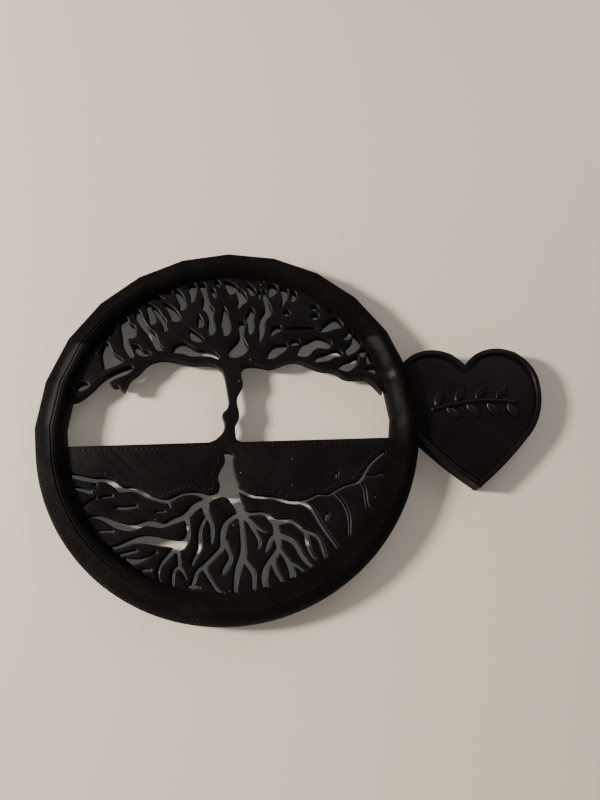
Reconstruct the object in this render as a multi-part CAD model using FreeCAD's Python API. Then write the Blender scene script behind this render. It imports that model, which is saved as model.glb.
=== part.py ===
import FreeCAD, Part

import math
import os

# A tree of life inside a round-section hoop, with a heart on one side of the hoop.
# Frame: the origin is the hoop's centre on the plane it lies on, +X runs along the soil line
# towards the heart, +Y runs up the trunk, and +Z is up, out of the face.

# Driving dimensions, in millimetres and degrees
HOOP_ACROSS = 95.0         # over two opposite corners of the hoop
HOOP_SIDES = 24            # flat runs in a full turn, seen on the upper half only
TUBE_RADIUS = 3.75
TUBE_CENTRE_Z = 3.5        # below the radius, so the tube has a flat to rest on
PLATE_THICK = 2.8          # the tree and its soil, centred in the tube's height
SOIL_LINE_Y = -4.6
FORK_Y = 14.0              # where the trunk ends and the two limbs part

HEART_CENTRE_X = 60.3
HEART_BOTTOM = 0.0         # the heart lies on the table with the hoop, below the tree's underside
LOBE_RADIUS = 10.15
LOBE_CENTRE = (8.35, 8.0)  # of the right lobe, from the heart's centre
HEART_WAIST = (15.0, -3.9)  # where the right side's two arcs meet
UPPER_SIDE_BULGE = 1.1
LOWER_SIDE_BULGE = 0.5
HEART_TIP_Y = -17.7
HEART_TOE = (0.7, -17.2)   # where the right side meets the round of the tip
RIM_WIDTH = 1.25
RIM_RAISED = 0.8

STEM_ENDS = ((-9.8, 2.2), (12.2, 3.6))
STEM_SAG = 1.3
STEM_WIDTHS = (1.0, 0.7)
STEM_STATIONS = 7          # widths laid off along the stem
LEAF_COUNT = 8
LEAF_LENGTH = 4.6
LEAF_WIDTH = 2.1
LEAF_SPREAD = 52.0         # between the stem and each leaf
LEAF_ZONE = 0.94           # how much of the stem carries leaves, from its foot
SPRIG_RAISED = 0.6

# Derived dimensions
PLATE_BOTTOM = TUBE_CENTRE_Z - PLATE_THICK / 2
PLATE_TOP = TUBE_CENTRE_Z + PLATE_THICK / 2
HEART_FACE_Z = PLATE_TOP - RIM_RAISED
CORNER_STEP = 360.0 / HOOP_SIDES
CORNER_RADIUS = HOOP_ACROSS / 2 - TUBE_RADIUS
FLAT_RADIUS = CORNER_RADIUS * math.cos(math.radians(CORNER_STEP / 2))
FIELD_RADIUS = FLAT_RADIUS - TUBE_RADIUS / 3   # the flat tree's edge is let into the tube
REACH = 2 * HOOP_ACROSS                        # outside everything
BEYOND = 60.0              # past the hoop, where the parting lines end
CRUMB_VOLUME = 0.5         # a sliver smaller than this, in cubic millimetres, is no piece

# The trunk's two sides, from the soil up to the fork
TRUNK_LEFT = [(-5.0, -4.6), (-3.6, -4.1), (-2.2, -3.0), (-1.3, -1.8), (-1.1, -0.5), (-1.4, 0.8),
              (-1.7, 2.0), (-1.3, 3.0), (-0.4, 4.0), (-0.1, 5.2), (-0.3, 7.0), (-0.7, 9.5),
              (-1.2, 12.0), (-1.9, 14.0)]
TRUNK_RIGHT = [(3.0, -4.6), (1.9, -3.8), (1.5, -2.0), (1.5, 0.0), (2.2, 1.4), (2.4, 3.5),
               (2.0, 5.5), (1.9, 7.0), (2.3, 8.2), (3.1, 9.7), (3.4, 11.0), (3.1, 12.6),
               (3.0, 14.0)]

# The underside of the crown, from the hoop on the left to the hoop on the right. Each list is
# one smooth run, and the crown has a sharp corner where two runs meet.
UNDERSIDE_LEFT = [
    [(-43.0, 6.8), (-39.5, 6.9), (-37.8, 7.3), (-36.2, 8.4), (-34.4, 10.0), (-33.0, 11.6),
     (-31.0, 13.3), (-28.0, 14.9), (-25.0, 15.9)],
    [(-25.0, 15.9), (-24.3, 15.2), (-24.7, 14.5), (-27.0, 13.2), (-29.8, 11.6)],
    [(-29.8, 11.6), (-29.6, 10.9), (-28.8, 10.5), (-28.0, 10.8)],
    [(-28.0, 10.8), (-27.4, 10.2), (-26.6, 9.2)],
    [(-26.6, 9.2), (-26.0, 10.4), (-25.2, 12.3), (-23.1, 14.1), (-21.5, 16.0), (-19.3, 17.3),
     (-16.0, 17.6), (-13.4, 17.0), (-10.0, 16.2), (-6.0, 16.1), (-3.4, 15.4), (-1.9, 14.0)]]
UNDERSIDE_RIGHT = [
    [(3.0, 14.0), (3.5, 14.9), (6.0, 15.4), (8.5, 14.9), (10.5, 14.6), (12.5, 15.2), (15.0, 16.1),
     (17.5, 16.1), (20.2, 14.9), (22.4, 13.9), (24.5, 13.4), (26.6, 13.1), (28.9, 11.5),
     (32.3, 11.0), (34.4, 10.9), (35.6, 10.2), (37.2, 8.4), (38.6, 6.9)],
    [(38.6, 6.9), (39.1, 8.2), (40.2, 8.6), (43.0, 8.4)]]

# Gaps between the branches, each a smooth closed outline
CROWN_GAPS = [
    # above the left limb
    [(-31.9, 15.7), (-32.4, 18.0), (-32.6, 20.6), (-31.5, 22.6), (-30.6, 21.7), (-29.9, 20.0),
     (-28.8, 18.8), (-26.9, 17.2), (-28.6, 16.1)],
    [(-33.0, 23.4), (-32.0, 25.0), (-30.9, 23.6), (-31.7, 23.0)],
    [(-34.9, 21.4), (-34.3, 20.3), (-34.0, 19.0), (-34.7, 19.3), (-35.2, 20.5)],
    [(-30.8, 27.7), (-29.7, 27.0), (-29.6, 25.4), (-30.2, 24.2), (-31.1, 25.3), (-31.5, 26.7)],
    [(-24.6, 18.2), (-25.6, 18.8), (-26.5, 20.3), (-27.5, 22.3), (-27.8, 24.6), (-28.4, 27.5),
     (-27.7, 30.1), (-26.6, 29.6), (-25.8, 27.8), (-24.5, 26.9), (-24.0, 25.0), (-24.3, 23.7),
     (-25.8, 23.4), (-25.8, 22.0), (-24.9, 19.8)],
    [(-24.4, 21.2), (-24.1, 20.2), (-22.8, 18.9), (-21.0, 18.5), (-20.0, 18.9), (-20.7, 19.7),
     (-22.3, 20.3), (-23.6, 21.5)],
    [(-24.1, 31.7), (-23.1, 30.7), (-22.4, 29.0), (-21.6, 27.5), (-20.6, 26.0), (-19.0, 24.5),
     (-18.3, 22.7), (-17.3, 21.0), (-16.7, 20.2), (-18.1, 20.0), (-19.0, 21.0), (-19.9, 22.8),
     (-20.8, 24.4), (-22.3, 26.2), (-23.6, 28.2), (-24.5, 30.0)],
    # the left of the crown, towards the hoop
    [(-21.4, 33.4), (-20.6, 33.0), (-20.1, 30.8), (-19.1, 28.8), (-19.2, 27.5), (-20.3, 27.3),
     (-21.0, 28.8), (-21.4, 31.0)],
    [(-20.0, 32.6), (-18.7, 31.5), (-17.2, 29.3), (-16.2, 27.6), (-16.3, 26.3), (-16.0, 25.4),
     (-16.9, 25.3), (-17.2, 27.0), (-18.2, 28.8), (-19.4, 30.8)],
    [(-17.0, 33.4), (-15.8, 32.8), (-14.5, 31.8), (-13.2, 30.0), (-12.7, 28.3), (-14.0, 27.9),
     (-15.1, 28.9), (-15.7, 30.8)],
    [(-14.1, 37.3), (-13.1, 36.6), (-12.0, 35.0), (-11.4, 33.0), (-11.5, 31.4), (-12.7, 31.2),
     (-13.1, 33.0), (-13.7, 35.0)],
    [(-10.4, 38.7), (-9.2, 38.8), (-8.6, 37.3), (-8.8, 35.4), (-9.6, 33.4), (-10.3, 34.6),
     (-10.5, 36.6)],
    [(-19.8, 35.6), (-18.4, 35.3), (-17.2, 34.2), (-18.4, 34.2)],
    [(-17.4, 36.6), (-16.0, 37.0), (-15.0, 36.4), (-16.2, 35.9)],
    [(-22.8, 34.0), (-22.0, 34.4), (-21.9, 33.2), (-22.5, 32.6)],
    # the long gaps that run up from the fork
    [(-7.6, 38.8), (-6.4, 38.6), (-6.1, 36.6), (-5.7, 34.6), (-5.0, 32.4), (-4.1, 31.2),
     (-4.2, 28.0), (-3.8, 24.5), (-4.6, 23.8), (-5.4, 25.2), (-5.4, 28.0), (-5.9, 30.4),
     (-7.0, 31.5), (-7.0, 33.2), (-6.8, 35.0), (-7.5, 37.0)],
    [(-7.8, 29.7), (-7.1, 28.4), (-6.9, 26.2), (-8.0, 26.1), (-8.2, 27.9)],
    [(-10.0, 25.7), (-8.9, 24.9), (-7.2, 23.4), (-6.4, 22.4), (-7.5, 22.0), (-8.9, 22.3),
     (-9.9, 23.3)],
    [(-14.5, 19.9), (-13.7, 21.4), (-11.7, 22.0), (-9.8, 20.9), (-8.0, 20.0), (-5.0, 19.6),
     (-3.4, 18.8), (-2.5, 17.2), (-3.7, 17.6), (-5.5, 18.1), (-10.0, 18.3), (-12.5, 19.1)],
    [(-1.2, 31.6), (-0.5, 30.0), (0.0, 27.6), (0.4, 25.2), (-0.6, 23.6), (-1.3, 23.8),
     (-1.6, 25.4), (-2.1, 27.4), (-1.9, 29.4)],
    [(0.1, 18.1), (-0.2, 19.3), (1.2, 21.2), (2.4, 22.7), (2.7, 24.6), (2.9, 27.4), (3.6, 27.5),
     (3.7, 23.8), (4.2, 21.6), (4.8, 19.6), (3.8, 18.3), (1.6, 17.5)],
    [(5.9, 31.2), (6.6, 30.0), (6.3, 27.4), (6.4, 25.2), (5.6, 23.8), (5.0, 24.9), (4.9, 26.8),
     (4.4, 28.8), (5.1, 30.2)],
    [(9.4, 36.4), (10.0, 35.2), (10.4, 32.6), (11.1, 30.2), (10.7, 28.8), (9.6, 27.6),
     (9.2, 25.0), (8.7, 23.0), (7.9, 21.6), (7.9, 24.0), (7.8, 27.0), (8.4, 29.2), (9.4, 30.8),
     (9.2, 33.0), (8.9, 35.0)],
    # along the top of the hoop
    [(-4.4, 37.3), (-3.7, 36.4), (-3.6, 34.4), (-4.3, 35.3)],
    [(-3.5, 39.7), (-2.7, 39.2), (-2.4, 37.7), (-3.2, 38.2)],
    [(-0.9, 39.5), (0.7, 38.9), (2.2, 37.5), (1.5, 35.7), (0.3, 35.5), (-0.5, 36.8)],
    [(2.1, 37.4), (3.4, 36.5), (4.5, 34.8), (4.6, 33.1), (3.5, 32.3), (2.6, 31.3), (2.2, 32.6),
     (2.4, 34.2), (1.9, 36.0)],
    [(4.9, 38.5), (6.3, 37.2), (7.0, 35.4), (6.2, 34.8), (5.2, 36.2)],
    [(8.2, 36.4), (8.5, 35.0), (8.0, 33.8), (7.7, 35.2)],
    [(11.4, 38.1), (12.6, 37.3), (12.6, 35.6), (11.6, 34.7), (10.8, 34.2), (10.5, 35.8)],
    [(14.4, 37.5), (15.3, 36.8), (15.5, 34.8), (14.9, 32.9), (13.4, 31.2), (13.9, 32.9),
     (14.1, 34.6), (13.7, 36.4)],
    [(17.2, 35.9), (17.8, 34.8), (17.4, 33.1), (16.7, 32.8), (16.5, 34.4)],
    # the right of the crown
    [(14.4, 30.1), (15.6, 30.2), (15.9, 29.2), (14.9, 28.8)],
    [(21.8, 31.4), (23.2, 31.3), (23.3, 30.3), (22.1, 30.2)],
    [(21.6, 28.7), (23.4, 28.7), (23.3, 27.8), (21.8, 27.7)],
    [(26.1, 30.2), (27.4, 30.0), (27.2, 29.2), (26.2, 29.4)],
    [(10.9, 23.3), (10.9, 24.6), (11.9, 25.9), (13.2, 26.1), (13.2, 24.4), (12.1, 23.9)],
    [(14.8, 25.2), (19.0, 25.6), (22.8, 25.1), (19.0, 24.8)],
    [(9.8, 17.2), (10.4, 19.4), (11.7, 20.6), (13.6, 20.9), (15.0, 20.7), (14.7, 19.4),
     (13.4, 18.3), (12.0, 17.3), (10.8, 16.9)],
    [(15.6, 20.9), (16.5, 21.9), (18.1, 21.7), (18.2, 20.8), (16.8, 20.4)],
    [(17.6, 17.9), (17.9, 19.4), (19.1, 21.1), (20.6, 21.7), (22.4, 22.6), (24.6, 22.2),
     (26.4, 20.7), (26.0, 19.6), (24.6, 19.3), (23.2, 19.6), (21.9, 19.1), (20.5, 17.6),
     (18.7, 17.3)],
    [(22.1, 16.2), (22.5, 17.3), (24.2, 17.9), (26.4, 18.7), (28.4, 18.6), (29.0, 17.5),
     (27.1, 16.9), (25.6, 16.1), (23.8, 15.8)],
    [(23.8, 24.4), (24.4, 25.6), (25.8, 26.8), (27.8, 27.9), (29.2, 26.6), (29.5, 25.3),
     (27.8, 24.8), (26.0, 24.2)],
    [(29.6, 22.1), (30.2, 23.1), (31.0, 23.8), (31.5, 25.0), (32.0, 24.0), (31.7, 22.4),
     (30.7, 21.7)],
    [(32.7, 23.4), (33.8, 22.0), (34.0, 20.4), (33.2, 18.9), (31.7, 17.8), (30.4, 17.4),
     (30.2, 18.9), (31.0, 20.3), (31.9, 21.3), (32.1, 22.5)],
    [(33.7, 17.1), (34.6, 18.9), (35.3, 18.8), (35.1, 17.7), (34.3, 16.7)],
    [(28.0, 14.1), (28.6, 15.0), (30.0, 15.7), (31.6, 16.2), (32.8, 16.8), (32.9, 15.4),
     (31.9, 14.0), (30.3, 13.0), (28.9, 13.3)],
    [(35.9, 17.8), (36.6, 17.0), (36.8, 15.3), (35.4, 14.9), (35.2, 16.3)],
    [(34.2, 13.5), (36.0, 13.9), (37.6, 13.8), (37.9, 12.6), (37.2, 12.2), (35.6, 12.8)],
    # under the left limb, beside the hoop
    [(-37.5, 9.7), (-38.5, 10.5), (-37.3, 11.6), (-35.7, 11.7), (-35.0, 10.7), (-36.1, 9.9)]]

# Lines that part the crown into its boughs. Each starts at the fork and leaves by the hoop, and
# runs through gaps for as much of its way as it can.
CROWN_PARTINGS = [
    [(0.0, 15.6), (-2.7, 17.4), (-4.0, 18.6), (-10.0, 19.3), (-14.2, 20.0), (-17.2, 20.3),
     (-18.0, 20.2), (-20.3, 18.9), (-22.5, 19.5), (-24.0, 20.4), (-25.0, 18.9), (-27.1, 17.2),
     (-31.5, 16.2), (-48.0, 10.0)],
    [(0.0, 15.6), (-2.7, 17.4), (-4.0, 18.6), (-10.0, 19.3), (-14.2, 20.0), (-17.2, 20.3),
     (-19.0, 22.4), (-20.4, 25.0), (-22.8, 28.2), (-24.1, 31.5), (-36.0, 48.0)],
    [(0.0, 15.6), (-2.7, 17.4), (-4.0, 18.6), (-8.2, 19.4), (-11.5, 21.3), (-13.5, 28.1),
     (-15.2, 31.0), (-16.9, 33.2), (-24.0, 54.0)],
    [(0.0, 15.6), (-2.7, 17.4), (-4.0, 18.6), (-4.6, 23.9), (-4.8, 28.0), (-6.0, 31.5),
     (-6.5, 35.0), (-7.0, 38.7), (-10.0, BEYOND)],
    [(0.0, 15.6), (1.6, 17.9), (3.0, 22.0), (3.3, 27.4), (2.7, 31.6), (3.0, 34.0), (2.1, 37.3),
     (2.4, BEYOND)],
    [(0.0, 15.6), (1.6, 17.9), (4.4, 19.3), (7.9, 21.8), (8.4, 26.0), (10.2, 29.5), (9.7, 33.0),
     (9.4, 36.3), (16.0, BEYOND)],
    [(0.0, 15.6), (1.6, 17.9), (4.4, 19.3), (10.4, 18.2), (12.5, 19.8), (14.7, 20.5), (15.8, 21.0),
     (18.0, 21.2), (19.0, 25.2), (22.8, 25.1), (24.0, 24.7), (25.8, 25.4), (29.3, 25.6),
     (50.0, 42.0)],
    [(0.0, 15.6), (1.6, 17.9), (4.4, 19.3), (10.4, 18.2), (12.2, 17.7), (17.8, 18.0), (20.3, 17.9),
     (22.2, 16.5), (25.0, 17.0), (28.8, 17.6), (30.5, 17.7), (33.3, 19.8), (34.7, 18.4),
     (48.0, 24.0)]]
BOUGH_NAMES = ["left_limb", "left_boughs", "upper_left_boughs", "top_left_boughs",
               "top_centre_boughs", "top_right_boughs", "upper_right_boughs", "right_boughs",
               "right_limb"]

# The tap root, a closed outline open through the soil
TAP_ROOT = [(-1.3, -7.5), (-1.6, -10.2), (-2.5, -11.8), (-2.7, -13.4), (-2.3, -15.0),
            (-2.6, -16.4), (-2.2, -17.6), (-0.4, -18.2), (1.2, -19.6), (2.6, -19.4),
            (2.4, -17.2), (2.3, -15.6), (1.6, -13.6), (1.1, -11.6), (0.8, -9.6), (0.6, -7.5)]

# The roots are slots cut through the soil. Each is a centre line of (x, y, width of the slot).
ROOTS = {
    "left_upper": [(-1.0, -16.8, 1.9), (-3.2, -17.6, 1.4), (-5.0, -17.9, 1.5), (-6.6, -17.2, 1.1),
                   (-8.8, -16.8, 0.8), (-10.6, -16.9, 0.8), (-12.6, -17.6, 0.9),
                   (-14.3, -18.4, 1.1), (-17.0, -18.0, 0.8), (-19.3, -17.2, 0.9),
                   (-21.4, -15.9, 1.0), (-23.6, -15.4, 1.1), (-25.9, -15.3, 1.3),
                   (-27.6, -13.9, 1.2), (-29.6, -13.0, 1.0), (-32.2, -12.9, 1.1),
                   (-35.6, -12.2, 1.2), (-39.3, -11.4, 0.5)],
    "left_upper_spur": [(-14.3, -18.4, 1.0), (-14.1, -19.9, 0.4)],
    "left_upper_hook": [(-31.6, -13.1, 1.1), (-31.7, -14.1, 0.5)],
    "left_middle": [(-4.6, -18.2, 1.6), (-6.6, -19.3, 1.9), (-8.4, -20.3, 1.9), (-9.8, -21.8, 1.8),
                    (-11.2, -22.6, 1.5), (-13.0, -23.2, 1.4), (-15.3, -24.1, 1.1),
                    (-17.2, -23.8, 1.3), (-19.2, -23.5, 1.3), (-22.4, -24.4, 1.4),
                    (-25.0, -24.1, 1.5), (-27.6, -23.1, 1.3), (-29.6, -22.1, 0.9),
                    (-32.6, -21.6, 0.4)],
    "left_link": [(-10.0, -22.4, 1.2), (-9.7, -24.5, 0.9), (-9.6, -26.3, 1.0), (-10.2, -28.0, 1.6),
                  (-11.6, -29.0, 2.4)],
    "left_lower": [(-11.0, -28.8, 2.2), (-13.6, -28.3, 1.7), (-16.2, -27.8, 1.9),
                   (-18.8, -27.3, 1.9), (-21.4, -27.3, 1.5), (-23.8, -28.0, 1.1),
                   (-25.8, -28.7, 0.9), (-28.4, -28.8, 0.4)],
    "left_lower_fork": [(-12.0, -29.0, 1.9), (-13.4, -30.6, 1.3), (-14.8, -32.0, 1.0),
                        (-15.7, -33.2, 0.8), (-15.8, -36.8, 0.4)],
    "left_tail": [(-12.0, -29.0, 1.9), (-11.6, -31.0, 1.0), (-11.5, -32.8, 0.9),
                  (-11.3, -33.8, 1.0)],
    "left_tail_outer": [(-11.3, -33.8, 1.0), (-12.4, -34.3, 0.8), (-12.9, -35.8, 0.7),
                        (-13.0, -38.4, 0.4)],
    "left_tail_inner": [(-11.3, -33.8, 1.0), (-10.6, -34.6, 0.9), (-9.8, -36.4, 0.4)],
    "centre_left": [(-5.4, -18.8, 1.5), (-5.6, -20.6, 1.5), (-5.0, -22.3, 1.2), (-4.3, -23.8, 0.9),
                    (-4.0, -26.0, 0.9), (-4.1, -28.4, 0.4)],
    "centre_left_long": [(-5.2, -22.4, 1.0), (-6.3, -24.2, 0.9), (-6.9, -26.2, 0.8),
                         (-6.8, -28.2, 0.9), (-6.8, -29.6, 0.9), (-7.5, -31.2, 0.8),
                         (-8.5, -33.3, 0.5)],
    "crown_root": [(1.3, -18.6, 2.2), (2.4, -20.4, 2.0), (2.9, -22.4, 2.2)],
    "centre_sweep": [(2.9, -21.8, 1.4), (0.9, -22.9, 1.3), (-0.7, -24.2, 1.3), (-1.4, -26.0, 1.3),
                     (-1.4, -28.0, 1.4), (-1.6, -29.6, 1.3), (-2.8, -31.0, 1.1),
                     (-4.6, -32.7, 1.1), (-6.0, -34.0, 1.1)],
    "centre_sweep_left": [(-6.0, -34.0, 1.1), (-7.2, -34.9, 0.9), (-7.9, -36.4, 0.8),
                          (-8.2, -38.1, 1.1)],
    "centre_sweep_foot": [(-9.3, -38.1, 0.4), (-8.1, -38.2, 0.8), (-6.7, -38.3, 0.4)],
    "centre_sweep_right": [(-5.8, -33.9, 1.1), (-4.9, -35.6, 0.9), (-3.8, -37.4, 0.8),
                           (-2.8, -38.8, 0.9), (-1.3, -39.8, 0.5)],
    "centre_inner": [(-1.0, -28.4, 1.2), (-0.2, -30.2, 0.9), (0.3, -32.0, 0.9),
                     (-0.3, -33.6, 1.2), (-1.3, -35.3, 0.8)],
    "centre_plumb": [(2.9, -22.2, 1.5), (3.0, -25.0, 1.1), (3.2, -28.0, 1.1), (3.3, -30.4, 1.3),
                     (3.0, -32.4, 1.7), (2.2, -34.4, 1.5), (1.6, -37.0, 1.0), (1.4, -39.4, 0.7)],
    "centre_plumb_right": [(3.3, -31.8, 1.2), (4.3, -33.6, 1.0), (5.5, -35.3, 1.1),
                           (5.7, -37.4, 0.8), (5.7, -39.7, 0.6)],
    "centre_right": [(3.4, -22.4, 1.4), (5.0, -23.9, 1.1), (6.4, -25.1, 0.9), (8.4, -26.4, 0.4)],
    "centre_right_drop": [(5.1, -24.2, 1.0), (6.0, -26.0, 0.8), (6.9, -27.8, 0.7),
                          (6.9, -29.9, 0.5)],
    "right_upper": [(1.9, -16.2, 1.2), (3.6, -17.0, 0.9), (5.6, -17.9, 0.8), (8.0, -18.3, 0.8),
                    (10.6, -18.5, 0.8), (13.0, -19.2, 0.9), (15.2, -19.7, 0.9),
                    (17.4, -19.6, 0.9), (19.6, -18.9, 0.6), (21.6, -18.1, 0.6),
                    (23.3, -18.3, 0.5), (25.2, -17.6, 0.5), (28.4, -16.1, 0.5),
                    (31.4, -15.2, 0.7), (32.9, -13.4, 0.6), (34.2, -11.4, 0.4),
                    (36.0, -9.7, 0.5), (38.0, -8.2, 0.4)],
    "right_outer": [(16.8, -19.7, 1.0), (18.8, -20.6, 1.0), (20.0, -22.0, 0.9), (21.0, -23.9, 0.8),
                    (22.2, -26.0, 0.8), (23.6, -28.1, 0.7), (25.5, -31.0, 0.5)],
    "right_thread": [(25.0, -17.8, 0.6), (26.2, -19.0, 0.6), (27.4, -20.9, 0.6),
                     (28.2, -23.4, 0.6), (28.3, -25.4, 0.5), (28.1, -27.6, 0.4)],
    "right_hook": [(31.2, -15.3, 0.6), (32.3, -16.9, 0.6), (32.5, -18.9, 0.6), (33.2, -22.0, 0.4)],
    "right_twig": [(32.8, -13.6, 0.6), (34.6, -13.9, 0.5), (37.6, -13.2, 0.4)],
    "right_middle": [(3.2, -21.8, 1.8), (5.2, -22.1, 0.9), (7.4, -22.0, 0.8), (9.0, -22.5, 1.0),
                     (10.2, -23.7, 1.4), (11.4, -24.2, 1.5), (13.0, -24.1, 1.1),
                     (14.6, -24.1, 1.1)],
    "right_middle_arm": [(14.4, -24.0, 1.1), (16.0, -25.0, 0.9), (17.4, -26.2, 0.9),
                         (18.9, -26.9, 1.0), (20.4, -27.6, 0.9), (21.3, -29.0, 0.8),
                         (22.3, -32.3, 0.7)],
    "right_middle_drop": [(18.0, -26.6, 1.1), (18.2, -28.4, 0.9), (18.5, -30.0, 0.8),
                          (19.9, -32.8, 0.5)],
    "right_stem": [(10.8, -24.2, 1.7), (11.1, -25.9, 1.4), (11.3, -27.4, 1.7), (11.5, -29.0, 1.1),
                   (11.5, -30.8, 1.3)],
    "right_stem_left": [(11.2, -27.3, 1.2), (9.9, -28.0, 1.0), (9.2, -29.4, 0.9),
                        (8.6, -30.7, 0.5)],
    "right_sweep": [(11.6, -27.4, 1.6), (13.8, -28.0, 1.3), (15.4, -29.2, 1.2),
                    (16.4, -31.0, 1.1), (17.5, -32.8, 1.1), (19.3, -34.6, 0.6)],
    "right_lower": [(11.5, -30.6, 1.2), (10.6, -31.9, 1.3), (9.4, -33.3, 1.1), (8.4, -35.0, 1.2),
                    (8.1, -37.0, 1.3), (8.5, -39.2, 0.8)],
    "right_lower_mid": [(10.0, -32.6, 1.2), (10.6, -34.6, 0.9), (11.5, -36.4, 0.8),
                        (12.4, -37.8, 0.5)],
    "right_lower_outer": [(11.6, -30.4, 1.1), (13.0, -32.1, 0.9), (14.0, -33.8, 1.2),
                          (14.5, -35.4, 1.3), (14.5, -37.4, 0.8)],
    "right_lower_toe": [(14.0, -33.7, 0.9), (15.7, -34.3, 0.7), (17.3, -35.7, 0.5)],
    # short slots that stand apart from the others
    "left_fleck_1": [(-38.0, -14.6, 0.5), (-35.4, -15.0, 0.8), (-33.0, -15.8, 0.9)],
    "left_fleck_2": [(-30.4, -17.1, 0.6), (-27.8, -16.9, 0.6)],
    "left_fleck_3": [(-26.6, -19.6, 0.7), (-24.0, -19.8, 0.9), (-22.0, -19.5, 0.7)],
    "left_fleck_4": [(-17.2, -20.9, 0.5), (-15.3, -20.9, 0.5)],
    "left_fleck_5": [(-30.6, -25.0, 0.5), (-27.2, -25.1, 0.7)],
    "left_fleck_6": [(-25.9, -30.6, 0.5), (-23.6, -30.3, 0.8), (-21.5, -29.8, 0.6)],
    "left_fleck_7": [(-23.8, -31.7, 0.8), (-22.0, -32.2, 1.3), (-20.2, -31.9, 0.9),
                     (-16.8, -30.2, 0.5)],
    "left_fleck_8": [(-19.9, -34.2, 0.6), (-18.0, -34.1, 0.6)],
    "left_fleck_9": [(-35.4, -20.2, 0.4), (-33.2, -18.2, 0.5), (-31.2, -17.2, 0.4)],
    "right_fleck_1": [(25.9, -13.9, 0.5), (26.1, -13.1, 0.5)],
    "right_fleck_2": [(22.9, -24.0, 0.6), (23.3, -22.9, 0.6)]}

# Lines that part the soil, each a list of roots followed outwards from the tap root and a last
# point outside the hoop. A root may be followed from or up to one of its points.
SOIL_HUB = (0.0, -16.9)
SOIL_PARTINGS = [
    [("left_upper", 0, 18), (-BEYOND, -9.0)],
    [("left_middle", 0, 14), (-BEYOND, -20.0)],
    [("left_middle", 0, 4), ("left_link", 0, 4), ("left_lower", 1, 8), (-BEYOND, -40.0)],
    [("centre_left", 0, 3), ("centre_left_long", 1, 7), (-9.0, -36.5), (-10.3, -37.6),
     (-16.0, -BEYOND)],
    [("crown_root", 0, 2), ("centre_sweep", 1, 9), ("centre_sweep_right", 1, 5), (0.0, -BEYOND)],
    [("crown_root", 0, 3), ("centre_plumb", 1, 8), (3.0, -BEYOND)],
    [("crown_root", 0, 2), ("right_middle", 0, 6), ("right_stem", 1, 5), ("right_lower", 1, 6),
     (14.0, -BEYOND)],
    [("right_upper", 0, 8), ("right_outer", 1, 7), (BEYOND, -BEYOND)],
    [("right_upper", 0, 18), (BEYOND, 0.0)]]
SOIL_NAMES = ["soil_left", "root_bed_far_left", "root_bed_left", "root_bed_lower_left",
              "root_bed_centre_left", "root_bed_centre", "root_bed_centre_right",
              "root_bed_lower_right", "root_bed_right", "soil_right"]


def vec(x, y, z=0.0):
    return FreeCAD.Vector(x, y, z)


def smooth_edge(points, closed=False):
    """A spline through the points in the plane z = 0."""
    curve = Part.BSplineCurve()
    curve.interpolate(Points=[vec(*p) for p in points], PeriodicFlag=closed)
    return curve.toShape()


def straight_edge(start, end):
    return Part.makeLine(vec(*start), vec(*end))


def slab(wire, bottom=PLATE_BOTTOM, top=PLATE_TOP):
    """The area inside a wire in the plane z = 0, raised to stand between two heights."""
    face = Part.Face(wire)
    face.translate(vec(0, 0, bottom))
    return face.extrude(vec(0, 0, top - bottom))


def cutter(wire):
    """A tool that goes right through the flat tree."""
    return slab(wire, PLATE_BOTTOM - 1, PLATE_TOP + 1)


def region(points):
    """A straight-sided tool for parting the flat tree."""
    return cutter(Part.makePolygon([vec(*p) for p in points + points[:1]]))


def solids_of(shape):
    """The shape's solids, without crumbs, as one shape."""
    solids = [s for s in shape.Solids if s.Volume > CRUMB_VOLUME]
    return solids[0] if len(solids) == 1 else Part.makeCompound(solids)


def tapered_outline(line):
    """The outline of a slot that follows a centre line of (x, y, width) with round ends."""
    left = []
    right = []
    for i, (x, y, width) in enumerate(line):
        before = line[max(i - 1, 0)]
        after = line[min(i + 1, len(line) - 1)]
        along = vec(after[0] - before[0], after[1] - before[1]).normalize()
        across = vec(-along.y, along.x) * (width / 2)
        left.append((x + across.x, y + across.y))
        right.append((x - across.x, y - across.y))
        if i == 0:
            start_tip = vec(x, y) - along * (width / 2)
        end_tip = vec(x, y) + along * (width / 2)
    start_cap = Part.Arc(vec(*right[0]), start_tip, vec(*left[0])).toShape()
    end_cap = Part.Arc(vec(*left[-1]), end_tip, vec(*right[-1])).toShape()
    return Part.Wire([start_cap, smooth_edge(left), end_cap, smooth_edge(right[::-1])])


def tube_section(radius):
    """The tube's cross-section in the plane y = 0: a circle with a flat where it rests."""
    half_flat = math.sqrt(TUBE_RADIUS ** 2 - TUBE_CENTRE_Z ** 2)
    inner = vec(radius - half_flat, 0, 0)
    outer = vec(radius + half_flat, 0, 0)
    crest = vec(radius, 0, TUBE_CENTRE_Z + TUBE_RADIUS)
    return Part.Face(Part.Wire([Part.Arc(inner, crest, outer).toShape(), Part.makeLine(outer, inner)]))


def hoop_flat(start, end):
    """One straight run of the hoop, between two angles about the hoop's centre."""
    middle = CORNER_STEP * (math.floor(start / CORNER_STEP) + 0.5)
    half_length = HOOP_ACROSS * math.tan(math.radians(CORNER_STEP / 2))
    run = tube_section(FLAT_RADIUS)
    run.translate(vec(0, -half_length, 0))
    run = run.extrude(vec(0, 2 * half_length, 0))
    run.rotate(vec(0, 0), vec(0, 0, 1), middle)
    sides = [vec(REACH * math.cos(math.radians(a)), REACH * math.sin(math.radians(a)))
             for a in (start, end)]
    wedge = slab(Part.makePolygon([vec(0, 0), *sides, vec(0, 0)]), -REACH, REACH)
    return run.common(wedge)


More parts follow.
